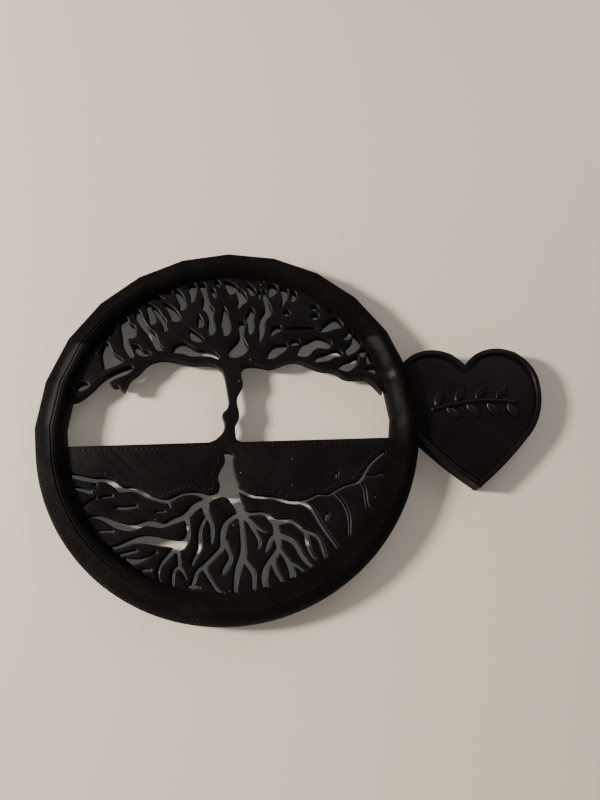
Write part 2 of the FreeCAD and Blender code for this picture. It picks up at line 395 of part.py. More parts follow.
def make_hoop():
    """The upper half in flat runs, the lower half truly round, meeting in the middle of a run."""
    half_step = CORNER_STEP / 2
    angles = [-half_step, *(CORNER_STEP * k for k in range(HOOP_SIDES // 2 + 1)), 180 + half_step]
    runs = [hoop_flat(start, end) for start, end in zip(angles, angles[1:])]
    bottom = tube_section(FLAT_RADIUS)
    bottom.rotate(vec(0, 0), vec(0, 0, 1), 180 + half_step)
    bottom = bottom.revolve(vec(0, 0), vec(0, 0, 1), 180 - 2 * half_step)
    return bottom.multiFuse(runs).removeSplitter()


def make_trunk():
    sides = [smooth_edge(TRUNK_LEFT), straight_edge(TRUNK_LEFT[-1], TRUNK_RIGHT[-1]),
             smooth_edge(TRUNK_RIGHT[::-1]), straight_edge(TRUNK_RIGHT[0], TRUNK_LEFT[0])]
    return slab(Part.Wire(sides))


def make_crown_field():
    """The whole crown inside the hoop, with its gaps open and its underside shaped."""
    left_end = UNDERSIDE_LEFT[0][0]
    right_end = UNDERSIDE_RIGHT[-1][-1]
    edges = [smooth_edge(run) for run in UNDERSIDE_LEFT]
    edges.append(straight_edge(TRUNK_LEFT[-1], TRUNK_RIGHT[-1]))
    edges += [smooth_edge(run) for run in UNDERSIDE_RIGHT]
    corners = [right_end, (REACH, right_end[1]), (REACH, REACH), (-REACH, REACH),
               (-REACH, left_end[1]), left_end]
    edges += [straight_edge(a, b) for a, b in zip(corners, corners[1:])]
    above = slab(Part.Wire(edges))
    disc = Part.makeCylinder(FIELD_RADIUS, PLATE_THICK, vec(0, 0, PLATE_BOTTOM))
    gaps = [cutter(Part.Wire(smooth_edge(gap, closed=True))) for gap in CROWN_GAPS]
    return disc.common(above).cut(gaps)


def make_soil_field():
    """Everything below the soil line inside the hoop, with the roots open through it."""
    disc = Part.makeCylinder(FIELD_RADIUS, PLATE_THICK, vec(0, 0, PLATE_BOTTOM))
    ground = [(-REACH, SOIL_LINE_Y), (REACH, SOIL_LINE_Y), (REACH, -REACH), (-REACH, -REACH)]
    tools = [cutter(tapered_outline(line)) for line in ROOTS.values()]
    tools.append(cutter(Part.Wire(smooth_edge(TAP_ROOT, closed=True))))
    return disc.common(region(ground)).cut(tools)


def between(first, second):
    """The region from one parting line to the next, which may share their first few points."""
    shared = 0
    while first[shared + 1] == second[shared + 1]:
        shared += 1
    return region(first[shared:] + second[:shared:-1])


def part_crown(field):
    """The boughs: the crown between one parting line and the next."""
    lines = CROWN_PARTINGS
    fork_left = [TRUNK_LEFT[-1], (-REACH, FORK_Y - HOOP_ACROSS)]
    fork_right = [TRUNK_RIGHT[-1], (REACH, FORK_Y - HOOP_ACROSS)]
    middle = (0.5, FORK_Y)
    bounds = [[lines[0][0], middle, *fork_left], *lines, [lines[0][0], middle, *fork_right]]
    boughs = {}
    for name, first, second in zip(BOUGH_NAMES, bounds, bounds[1:]):
        boughs[name] = solids_of(field.common(between(first, second)))
    return boughs


def parting_points(steps):
    """The points of one soil parting line, read off the roots that it follows."""
    points = [SOIL_HUB]
    for step in steps:
        if isinstance(step[0], str):
            root, first, last = step
            points += [(x, y) for x, y, _ in ROOTS[root][first:last]]
        else:
            points.append(step)
    return points


def part_soil(field):
    """The pieces of soil between one parting line and the next."""
    surface = [SOIL_HUB, (0.0, SOIL_LINE_Y)]
    bounds = [surface + [(-BEYOND, SOIL_LINE_Y)], *map(parting_points, SOIL_PARTINGS),
              surface + [(BEYOND, SOIL_LINE_Y)]]
    beds = {}
    for name, first, second in zip(SOIL_NAMES, bounds, bounds[1:]):
        beds[name] = solids_of(field.common(between(first, second)))
    return beds


def bulged(start, end, bulge):
    """The point beside the middle of a chord, to its left by the bulge."""
    along = (end - start).normalize()
    return (start + end) * 0.5 + vec(-along.y, along.x) * bulge


def heart_wire(inset=0.0):
    """The heart's outline about its own centre: two round lobes and two full sides to the tip."""
    cx, cy = LOBE_CENTRE
    notch = vec(0, cy + math.sqrt(LOBE_RADIUS ** 2 - cx ** 2))
    toe_x, toe_y = HEART_TOE
    edges = [Part.Arc(vec(toe_x, toe_y), vec(0, HEART_TIP_Y), vec(-toe_x, toe_y)).toShape()]
    for mirror in (1, -1):
        crest = vec(mirror * cx, cy + LOBE_RADIUS)
        side = vec(mirror * (cx + LOBE_RADIUS), cy)
        waist = vec(mirror * HEART_WAIST[0], HEART_WAIST[1])
        toe = vec(mirror * toe_x, toe_y)
        edges.append(Part.Arc(notch, crest, side).toShape())
        edges.append(Part.Arc(side, bulged(side, waist, UPPER_SIDE_BULGE * mirror), waist).toShape())
        edges.append(Part.Arc(waist, bulged(waist, toe, LOWER_SIDE_BULGE * mirror), toe).toShape())
    wire = Part.Wire(Part.__sortEdges__(edges))
    return wire.makeOffset2D(-inset) if inset else wire


def place_on_heart(shape):
    """Move a shape made about the heart's own centre to its place beside the hoop."""
    shape.translate(vec(HEART_CENTRE_X, 0))
    return shape


def make_heart(hoop):
    plate = slab(heart_wire(), HEART_BOTTOM, HEART_FACE_Z)
    rim = slab(heart_wire(), HEART_FACE_Z, PLATE_TOP)
    rim = rim.cut(slab(heart_wire(RIM_WIDTH), HEART_FACE_Z - 1, PLATE_TOP + 1))
    return {"heart_plate": solids_of(place_on_heart(plate).cut(hoop)),
            "heart_rim": solids_of(place_on_heart(rim).cut(hoop))}


def stem_point(t):
    """A point of the sprig's bowed stem, from 0 at its foot to 1 at its tip, and its heading."""
    (x0, y0), (x1, y1) = STEM_ENDS
    x = x0 + (x1 - x0) * t
    y = y0 + (y1 - y0) * t + 4 * STEM_SAG * t * (1 - t)
    slope = (y1 - y0 + 4 * STEM_SAG * (1 - 2 * t)) / (x1 - x0)
    return x, y, math.degrees(math.atan(slope))


def leaf_wire(x, y, heading):
    """A pointed leaf: two equal arcs from its foot at (x, y) to its tip."""
    side = math.copysign(1.0, heading)
    wire = Part.Wire([
        Part.Arc(vec(0, 0), vec(LEAF_LENGTH * 0.5, LEAF_WIDTH * 0.5), vec(LEAF_LENGTH, 0)).toShape(),
        Part.Arc(vec(LEAF_LENGTH, 0), vec(LEAF_LENGTH * 0.5, -LEAF_WIDTH * 0.5), vec(0, 0)).toShape()])
    wire.rotate(vec(0, 0), vec(0, 0, 1), heading)
    clear = max(STEM_WIDTHS) / 2
    wire.translate(vec(x, y + side * clear))
    return wire


def make_sprig():
    """A raised stem across the heart's face with leaves on alternate sides."""
    top = HEART_FACE_Z + SPRIG_RAISED
    line = []
    for i in range(STEM_STATIONS):
        t = i / (STEM_STATIONS - 1)
        x, y, _ = stem_point(t)
        line.append((x, y, STEM_WIDTHS[0] + (STEM_WIDTHS[1] - STEM_WIDTHS[0]) * t))
    stem = slab(tapered_outline(line), HEART_FACE_Z, top)
    leaves = []
    for i in range(LEAF_COUNT):
        t = (i + 0.5) / LEAF_COUNT * LEAF_ZONE
        x, y, slope = stem_point(t)
        side = 1 if i % 2 == 0 else -1
        leaf = slab(leaf_wire(x, y, slope + side * LEAF_SPREAD), HEART_FACE_Z, top)
        leaves.append(leaf.cut(stem))
    return {"sprig_stem": place_on_heart(stem),
            "sprig_leaves": place_on_heart(Part.makeCompound(leaves))}


def main():
    hoop = make_hoop()
    crown = make_crown_field()
    soil = make_soil_field()
    pieces = {"hoop": solids_of(hoop.cut([crown, soil])), "trunk": make_trunk()}
    pieces.update(part_crown(crown))
    pieces.update(part_soil(soil))
    pieces.update(make_heart(hoop))
    pieces.update(make_sprig())
    os.makedirs("parts", exist_ok=True)
    for name, shape in pieces.items():
        print(name, len(shape.Solids), round(shape.Volume, 2), shape.isValid())
        shape.exportStep(f"parts/{name}.step")


main()
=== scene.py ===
import enum
import logging
import math
from dataclasses import dataclass, field
from typing import Any, Optional, Sequence, Union

import bpy
import numpy as np
from mathutils import Euler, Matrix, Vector
from mathutils.geometry import tessellate_polygon


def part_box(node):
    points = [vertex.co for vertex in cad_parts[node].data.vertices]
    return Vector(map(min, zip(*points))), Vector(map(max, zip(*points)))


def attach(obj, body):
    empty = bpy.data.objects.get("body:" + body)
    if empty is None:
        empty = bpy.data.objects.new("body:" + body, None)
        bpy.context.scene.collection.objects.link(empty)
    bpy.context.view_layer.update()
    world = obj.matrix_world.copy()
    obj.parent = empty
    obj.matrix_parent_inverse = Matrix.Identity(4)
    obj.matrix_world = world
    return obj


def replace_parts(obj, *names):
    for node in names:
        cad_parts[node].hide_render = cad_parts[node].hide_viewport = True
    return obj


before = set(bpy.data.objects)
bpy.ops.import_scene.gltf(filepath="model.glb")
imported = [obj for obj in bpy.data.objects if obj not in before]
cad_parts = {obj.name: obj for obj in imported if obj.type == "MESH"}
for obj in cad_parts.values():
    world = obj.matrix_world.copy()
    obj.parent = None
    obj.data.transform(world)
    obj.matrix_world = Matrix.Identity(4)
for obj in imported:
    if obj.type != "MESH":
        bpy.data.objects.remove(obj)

# Tree of life ornament in black printed plastic. Sizes in the classes are millimetres and
# degrees; meshes are in metres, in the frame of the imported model.

MM = 0.001
BODY = "root"

# How an outline is drawn in: the sine of a turn that counts as straight, the longest move at a
# corner in distances, the shortest that an edge may become, the doubled area in square metres
# below which a triangle has turned over, and how moves are eased where they are too tight.
NEARLY_STRAIGHT = 0.05
LONGEST_MITRE = 2.0
SHORTEST_EDGE = 0.12
TURNED_OVER = -1e-10
EASING_ROUNDS = 16
EASING = 0.72
EASING_SPREAD = 0.2
EASING_SLACK = 0.02

GRID = 1e-7  # corners nearer than this, in metres, are one point
TOP_SLACK = 1e-6  # how far under its greatest height, in metres, a node's flat top may lie
LEAST = 1e-9  # a length in metres that stands in for nothing, to divide by
BATCH = 256  # places measured at one time

log = logging.getLogger("tree_of_life")


class Slot(enum.Enum):
    """The material slots of the record."""

    HOOP = "hoop_plastic"
    TREE = "tree_plastic"
    HEART = "heart_plastic"


# ---------------------------------------------------------------------------------------------
# Shader arithmetic
# ---------------------------------------------------------------------------------------------


class Value:
    """An output socket that can be used in ordinary arithmetic."""

    def __init__(self, sheet: "ShaderSheet", socket: bpy.types.NodeSocket) -> None:
        """Keep the socket and the sheet that it belongs to."""
        self.sheet = sheet
        self.socket = socket

    def math(self, operation: str, *terms: Any) -> "Value":
        """One Math node.

        Args:
            operation: the Math node's operation.
            terms: the operands in order, sockets or numbers.

        Returns:
            The node's result.
        """
        return self.sheet.node("ShaderNodeMath", {"operation": operation}, dict(enumerate(terms)))

    def __add__(self, other: Any) -> "Value":
        """self + other."""
        return self.math("ADD", self, other)

    def __sub__(self, other: Any) -> "Value":
        """self - other."""
        return self.math("SUBTRACT", self, other)

    def __rsub__(self, other: Any) -> "Value":
        """other - self."""
        return self.math("SUBTRACT", other, self)

    def __mul__(self, other: Any) -> "Value":
        """self * other."""
        return self.math("MULTIPLY", self, other)

    def root(self) -> "Value":
        """The value's square root."""
        return self.math("SQRT", self)

    def sine(self) -> "Value":
        """The sine of the value in radians."""
        return self.math("SINE", self)

    def size(self) -> "Value":
        """The value without its sign."""
        return self.math("ABSOLUTE", self)

    def step(self, low: float, high: float) -> "Value":
        """A smooth rise from 0 at low to 1 at high, or a fall where low is the greater.

        Args:
            low: the value that gives 0.
            high: the value that gives 1.

        Returns:
            The eased value between 0 and 1.
        """
        return self.sheet.node(
            "ShaderNodeMapRange", {"interpolation_type": "SMOOTHSTEP", "clamp": True},
            {"Value": self, "From Min": low, "From Max": high, "To Min": 0.0, "To Max": 1.0})


class ShaderSheet:
    """The nodes of one material or surround."""

    def __init__(self, owner: Union[bpy.types.Material, bpy.types.World]) -> None:
        """Start an empty node tree.

        Args:
            owner: the material or the surround that the nodes belong to.
        """
        owner.use_nodes = True
        self.owner = owner
        self.tree = owner.node_tree
        self.tree.nodes.clear()

    def node(self, kind: str, settings: Optional[dict] = None, sockets: Optional[dict] = None,
             output: Any = 0) -> Value:
        """Add one node of any kind.

        Args:
            kind: the node's type.
            settings: its properties, which are set first.
            sockets: numbers, colours or Values for its inputs, by name or place.
            output: the name or place of the output that is handed back.

        Returns:
            That output.
        """
        made = self.tree.nodes.new(kind)
        for key, value in (settings or {}).items():
            setattr(made, key, value)
        for key, value in (sockets or {}).items():
            if isinstance(value, Value):
                self.tree.links.new(value.socket, made.inputs[key])
            else:
                made.inputs[key].default_value = value
        return Value(self, made.outputs[output])

    def blend(self, share: Any, first: Any, second: Any) -> Value:
        """A colour between two colours.

        Args:
            share: 0 for the first colour, 1 for the second.
            first: a colour.
            second: a colour.

        Returns:
            The mixed colour.
        """
        return self.node("ShaderNodeMix", {"data_type": "RGBA", "clamp_factor": True},
                         {0: share, 6: first, 7: second}, output=2)

    def noise(self, place: Value, scale: float, detail: float, roughness: float = 0.5) -> Value:
        """A cloudy pattern.

        Args:
            place: where it is read.
            scale: clouds to the metre, or to the unit of the place.
            detail: how many finer layers lie over it.
            roughness: the finer layers' share.

        Returns:
            A value about one half.
        """
        return self.node("ShaderNodeTexNoise", None, {
            "Vector": place, "Scale": scale, "Detail": detail, "Roughness": roughness})

    def finish(self, surface: Value, kind: str = "ShaderNodeOutputMaterial") -> Any:
        """Join a shader to the output.

        Args:
            surface: the shader.
            kind: the output node's type.

        Returns:
            The material or surround.
        """
        end = self.tree.nodes.new(kind)
        self.tree.links.new(surface.socket, end.inputs["Surface"])
        return self.owner


def rgba(colour: Sequence[float]) -> tuple[float, float, float, float]:
    """A colour with full opacity."""
    return (colour[0], colour[1], colour[2], 1.0)


# ---------------------------------------------------------------------------------------------
# Finishes
# ---------------------------------------------------------------------------------------------


@dataclass(frozen=True)
class PaintedHighlightStreak:
    """A painted highlight: a grey streak along the hoop, with paler seam marks, partly painted
    glints.

    The streak is whole over its core and between the two places in `whole`, and fades out from
    there to its half width, its bottom, its top and the lower of the two heights.
    """

    radius: float = 42.5
    half_width: float = 1.9
    core: float = 0.2
    bottom: float = -9.0
    whole: tuple[float, float] = (0.0, 21.0)
    top: float = 21.8
    heights: tuple[float, float] = (5.2, 6.0)
    patches: tuple[float, float] = (0.25, 0.60)
    cover: float = 0.8
    seam: tuple[float, float] = (41.0, 11.0)
    seam_reach: float = 2.3
    seam_lift: float = 0.22
    stroke_scale: float = 5.0
    strokes: tuple[float, float] = (0.60, 0.72)
    # painted highlight: the paler streak colour where the key lamp reflects on the inner slope
    painted_highlight: tuple[float, float, float] = (0.036, 0.032, 0.030)
    # paler seam marks: partly scratches, partly painted glints
    scratch_and_glint: tuple[float, float, float] = (0.10, 0.095, 0.09)
    painted_highlight_roughness: float = 0.15
    scratch_and_glint_roughness: float = 0.2

    def shares(self, x: Value, y: Value, z: Value, cloud: Value,
               scratch: Value) -> tuple[Value, Value]:
        """How much of the painted highlight streak and of the seam marks a point gets.

        Off the streak's middle line, a point's distance is the root of x squared plus y squared
        less the radius. Scratches show only on the streak and near the seam.

        Args:
            x: the point's place across the hoop.
            y: its place along the trunk's way.
            z: its height.
            cloud: the finish's clouds, which break up the streak.
            scratch: fine strokes.

        Returns:
            The painted highlight streak's share and the share of the seam marks.
        """
        off = ((x * x + y * y).root() - self.radius * MM).size()
        along = y.step(self.bottom * MM, self.whole[0] * MM)
        along = along * y.step(self.top * MM, self.whole[1] * MM)
        up = z.step(self.heights[0] * MM, self.heights[1] * MM)
        near = off.step(self.half_width * MM, self.core * MM) * along * up
        dx, dy = x - self.seam[0] * MM, y - self.seam[1] * MM
        middle = (dx * dx + dy * dy).root().step(self.seam_reach * MM, 0.0)
        cut = (middle * self.seam_lift + scratch).step(*self.strokes) * near * middle
        return near * cloud.step(*self.patches), cut


@dataclass(frozen=True)
class PrintedPlastic:
    """Glossy black plastic laid down in lines.

    The flat tops carry parallel lines at 45 degrees, each with its own gloss, over a cloudy
    change of tone. Rounded edges and walls may be duller than the tops. Pale specks, partly dust
    and partly painted glints, lie on everything, and a painted highlight streak where the finish
    has one. Scales are patterns to the metre, and a pair of numbers is where a fade starts and
    where it ends.
    """

    name: str
    dark: tuple[float, float, float]
    light: tuple[float, float, float]
    roughness: float
    shine: float
    tones: tuple[float, float] = (0.30, 0.72)
    cloud_scale: float = 95.0
    cloud_share: float = 0.65
    roughness_spread: float = 0.16
    strand_spread: float = 0.18
    edge_roughness: float = 0.0
    level: tuple[float, float] = (0.90, 0.99)
    line_pitch: float = 0.45
    line_depth: float = 0.006
    strand_length: float = 22.0
    strand_height: float = 5.0
    grain_scale: float = 2600.0
    grain_depth: float = 0.006
    lump_scale: float = 620.0
    lump_depth: float = 0.05
    specks: float = 1.0
    speck_scale: float = 330.0
    speck_edge: tuple[float, float] = (0.060, 0.030)
    speck_clouds: tuple[float, float] = (0.46, 0.60)
    # pale speck colour: partly dust, partly painted glints
    dust_and_glint: tuple[float, float, float] = (0.16, 0.15, 0.14)
    dust_and_glint_cover: float = 0.55
    dust_and_glint_roughness: float = 0.2
    refraction: float = 1.46
    coat: float = 0.05
    coat_roughness: float = 0.18
    painted_streak: Optional[PaintedHighlightStreak] = None

    def material(self) -> bpy.types.Material:
        """Build the finish.

        The line height is the size of the sine of (x + y) times pi over the pitch and the root of
        two, so ridges run at 45 degrees one pitch apart. It counts only where a face looks up.

        Returns:
            The material.
        """
        sheet = ShaderSheet(bpy.data.materials.new(self.name))
        place = sheet.node("ShaderNodeTexCoord", output="Object")
        facing = sheet.node("ShaderNodeTexCoord", output="Normal")
        x, y, z = (sheet.node("ShaderNodeSeparateXYZ", None, {0: place}, output=axis)
                   for axis in "XYZ")
        up = sheet.node("ShaderNodeSeparateXYZ", None, {0: facing}, output="Z")
        flat = up.step(*self.level)

        ridge = ((x + y) * (math.pi / (self.line_pitch * MM * math.sqrt(2.0)))).sine().size()
        cloud = sheet.noise(place, self.cloud_scale, detail=3.0, roughness=0.55)
        grain = sheet.noise(place, self.grain_scale, detail=2.0, roughness=0.6)
        lumps = sheet.noise(place, self.lump_scale, detail=2.0)
        turned = sheet.node("ShaderNodeMapping", {"vector_type": "TEXTURE"}, {
            "Vector": place, "Rotation": (0.0, 0.0, math.radians(45.0)),
            "Scale": (self.line_pitch * MM, self.strand_length * MM, self.strand_height * MM)})
        strand = sheet.noise(turned, scale=1.0, detail=1.0)
        cell = sheet.node("ShaderNodeTexVoronoi", {"feature": "F1"}, {
            "Vector": place, "Scale": self.speck_scale, "Randomness": 1.0})
        speck = cell.step(*self.speck_edge) * cloud.step(*self.speck_clouds) * self.specks

        tone = cloud * self.cloud_share + strand * (1.0 - self.cloud_share)
        colour = sheet.blend(tone.step(*self.tones), rgba(self.dark), rgba(self.light))
        # Pale specks painted over the colour: partly dust, partly painted glints.
        colour = sheet.blend(speck * self.dust_and_glint_cover, colour, rgba(self.dust_and_glint))
        rough = (cloud - 0.5) * self.roughness_spread + self.roughness
        rough = rough + (strand - 0.5) * flat * self.strand_spread + speck * self.dust_and_glint_roughness
        rough = rough + (1.0 - flat) * self.edge_roughness
        if self.painted_streak is not None:
            scratch = sheet.noise(turned, self.painted_streak.stroke_scale, detail=2.0, roughness=0.6)
            streak, cut = self.painted_streak.shares(x, y, z, cloud, scratch)
            # Painted highlight: the key lamp's reflection on the hoop's inner slope, as a paler
            # streak.
            colour = sheet.blend(streak * self.painted_streak.cover, colour, rgba(self.painted_streak.painted_highlight))
            # Paler seam marks painted over the colour: partly scratches, partly painted glints.
            colour = sheet.blend(cut, colour, rgba(self.painted_streak.scratch_and_glint))
            rough = rough + streak * self.painted_streak.painted_highlight_roughness
            rough = rough + cut * self.painted_streak.scratch_and_glint_roughness

        relief = ridge * flat * (self.line_depth * MM) + grain * (self.grain_depth * MM)
        relief = relief + lumps * (self.lump_depth * MM)
        bump = sheet.node("ShaderNodeBump", None, {
            "Strength": 1.0, "Distance": 1.0, "Height": relief})
        surface = sheet.node("ShaderNodeBsdfPrincipled", None, {
            "Base Color": colour, "Roughness": rough, "Normal": bump,
            "IOR": self.refraction, "Specular IOR Level": self.shine,
            "Coat Weight": self.coat, "Coat Roughness": self.coat_roughness})
        return sheet.finish(surface)


HOOP_BLACK = PrintedPlastic(
    "hoop_black", dark=(0.0030, 0.0022, 0.0018), light=(0.0052, 0.0040, 0.0032),
    roughness=0.34, shine=0.15, painted_streak=PaintedHighlightStreak())
TREE_BLACK = PrintedPlastic(
    "tree_black", dark=(0.0034, 0.0026, 0.0024), light=(0.0064, 0.0050, 0.0047),
    roughness=0.32, edge_roughness=0.26, specks=2.0, shine=0.18)
HEART_BLACK = PrintedPlastic(
    "heart_black", dark=(0.0042, 0.0026, 0.0024), light=(0.0064, 0.0042, 0.0039),
    roughness=0.40, specks=0.6, shine=0.19)


@dataclass(frozen=True)
class TableTop:
    """A plain pale table with a faint, soft shine, a little translucent, so it glows slightly."""

    name: str = "table_top"
    colour: tuple[float, float, float] = (0.72, 0.61, 0.50)
    roughness: float = 0.42
    shine: float = 0.35
    cloud_scale: float = 6.0
    paler: float = 1.03
    glow: float = 0.10
    glow_colour: tuple[float, float, float] = (0.62, 0.61, 0.58)

    def material(self) -> bpy.types.Material:
        """Build the finish: one colour with a very faint cloudiness."""
        sheet = ShaderSheet(bpy.data.materials.new(self.name))
        place = sheet.node("ShaderNodeTexCoord", output="Object")
        cloud = sheet.noise(place, self.cloud_scale, detail=2.0)
        paler = tuple(value * self.paler for value in self.colour)
        colour = sheet.blend(cloud, rgba(self.colour), rgba(paler))
        return sheet.finish(sheet.node("ShaderNodeBsdfPrincipled", None, {
            "Base Color": colour, "Roughness": self.roughness, "Specular IOR Level": self.shine,
            "Emission Color": rgba(self.glow_colour), "Emission Strength": self.glow}))


# ---------------------------------------------------------------------------------------------
# Meshes
# ---------------------------------------------------------------------------------------------


@dataclass
class Skin:
    """A mesh in the making: points in metres and faces as arrays of point numbers."""

    points: np.ndarray
    faces: list[np.ndarray] = field(default_factory=list)

    def piece(self, name: str, material: bpy.types.Material, slot: Slot, crease: float = 32.0,
              creases: Optional[np.ndarray] = None) -> bpy.types.Object:
        """Make the object.

        Args:
            name: the object's name.
            material: its finish.
            slot: the record's slot that the finish stands for; not used.
            crease: the angle between faces, in degrees, from which an edge is sharp.
            creases: each point's crease number; an edge whose two ends have the same number
                above 0 is sharp whatever its angle.

        Returns:
            The object, on its body.
        """
        mesh = bpy.data.meshes.new(name)
        mesh.vertices.add(len(self.points))
        mesh.vertices.foreach_set("co", self.points.astype(np.float32).ravel())
        corners = np.concatenate([block.ravel() for block in self.faces]).astype(np.int32)
        sizes = np.concatenate([np.full(len(block), block.shape[1]) for block in self.faces])
        starts = np.concatenate([[0], np.cumsum(sizes)[:-1]]).astype(np.int32)
        mesh.loops.add(len(corners))
        mesh.loops.foreach_set("vertex_index", corners)
        mesh.polygons.add(len(sizes))
        mesh.polygons.foreach_set("loop_start", starts)
        mesh.polygons.foreach_set("use_smooth", np.ones(len(sizes), bool))
        mesh.update(calc_edges=True)
        mesh.validate()
        mesh.set_sharp_from_angle(angle=math.radians(crease))
        if creases is not None:
            ends = np.empty(len(mesh.edges) * 2, np.int32)
            mesh.edges.foreach_get("vertices", ends)
            number = creases[ends.reshape(-1, 2)]
            sharp = np.empty(len(mesh.edges), bool)
            mesh.edges.foreach_get("use_edge_sharp", sharp)
            sharp |= (number[:, 0] > 0) & (number[:, 0] == number[:, 1])
            mesh.edges.foreach_set("use_edge_sharp", sharp)
        mesh.materials.append(material)
        made = bpy.data.objects.new(name, mesh)
        bpy.context.scene.collection.objects.link(made)
        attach(made, BODY)
        log.info("%s: %d points, %d faces", name, len(self.points), len(sizes))
        return made


def ring_faces(count: int, rings: int, after: Optional[np.ndarray] = None) -> np.ndarray:
    """Quads between successive rings of points.

    Args:
        count: how many points a ring has.
        rings: how many rings there are, each after the one below it.
        after: the point that follows each point round its ring; the next number by default.

    Returns:
        The quads, facing out where the rings climb and run anticlockwise.
    """
    here = np.arange(count)
    following = np.roll(here, -1) if after is None else after
    low = (np.arange(rings - 1) * count)[:, None]
    quads = np.stack([low + here, low + following, low + count + following, low + count + here], -1)
    return quads.reshape(-1, 4)


def arc(start: Sequence[float], through: Sequence[float], end: Sequence[float],
        inset: float = 0.0, steps: int = 24) -> np.ndarray:
    """Points of a circular arc through three points, drawn towards its centre by an inset.

    The centre is where the two chords' bisectors cross, and the points turn about it at a
    steady rate from the start to the end.

    Args:
        start: the first point.
        through: a point on the arc.
        end: the last point.
        inset: how much smaller the arc's radius is made.
        steps: the number of runs.

    Returns:
        steps + 1 points.
    """
    a, b, c = (np.asarray(point, float) for point in (start, through, end))
    rows = 2.0 * np.stack([b - a, c - a])
    centre = np.linalg.solve(rows, [b @ b - a @ a, c @ c - a @ a])
    angles = [math.atan2(*(point - centre)[::-1]) for point in (a, b, c)]
    bend = (angles[1] - angles[0] + math.pi) % (2 * math.pi) - math.pi
    rest = (angles[2] - angles[1] + math.pi) % (2 * math.pi) - math.pi
    turn = angles[0] + np.linspace(0.0, bend + rest, steps + 1)
    radius = np.linalg.norm(a - centre) - inset
    return centre + radius * np.stack([np.cos(turn), np.sin(turn)], -1)


def doubled_areas(points: np.ndarray, triangles: np.ndarray) -> np.ndarray:
    """Twice each triangle's area, below 0 where its corners run clockwise."""
    a, b, c = (points[triangles[:, k]] for k in range(3))
    return (b - a)[:, 0] * (c - a)[:, 1] - (b - a)[:, 1] * (c - a)[:, 0]


def distances(places: np.ndarray, start: np.ndarray, run: np.ndarray) -> np.ndarray:
    """How far each place is from the nearest of many straight edges.

    The nearest point of an edge is where a square line from the place meets it, or its end.

    Args:
        places: the places.
        start: where the edges start.
        run: the way from each edge's start to its end.

    Returns:
        The distances.
    """
    length = np.maximum((run ** 2).sum(1), LEAST ** 2)
    gaps = []
    for low in range(0, len(places), BATCH):
        apart = places[low:low + BATCH, None] - start
        share = np.clip((apart * run).sum(-1) / length, 0.0, 1.0)
        gaps.append(np.linalg.norm(apart - share[..., None] * run, axis=-1).min(1))
    return np.concatenate(gaps)


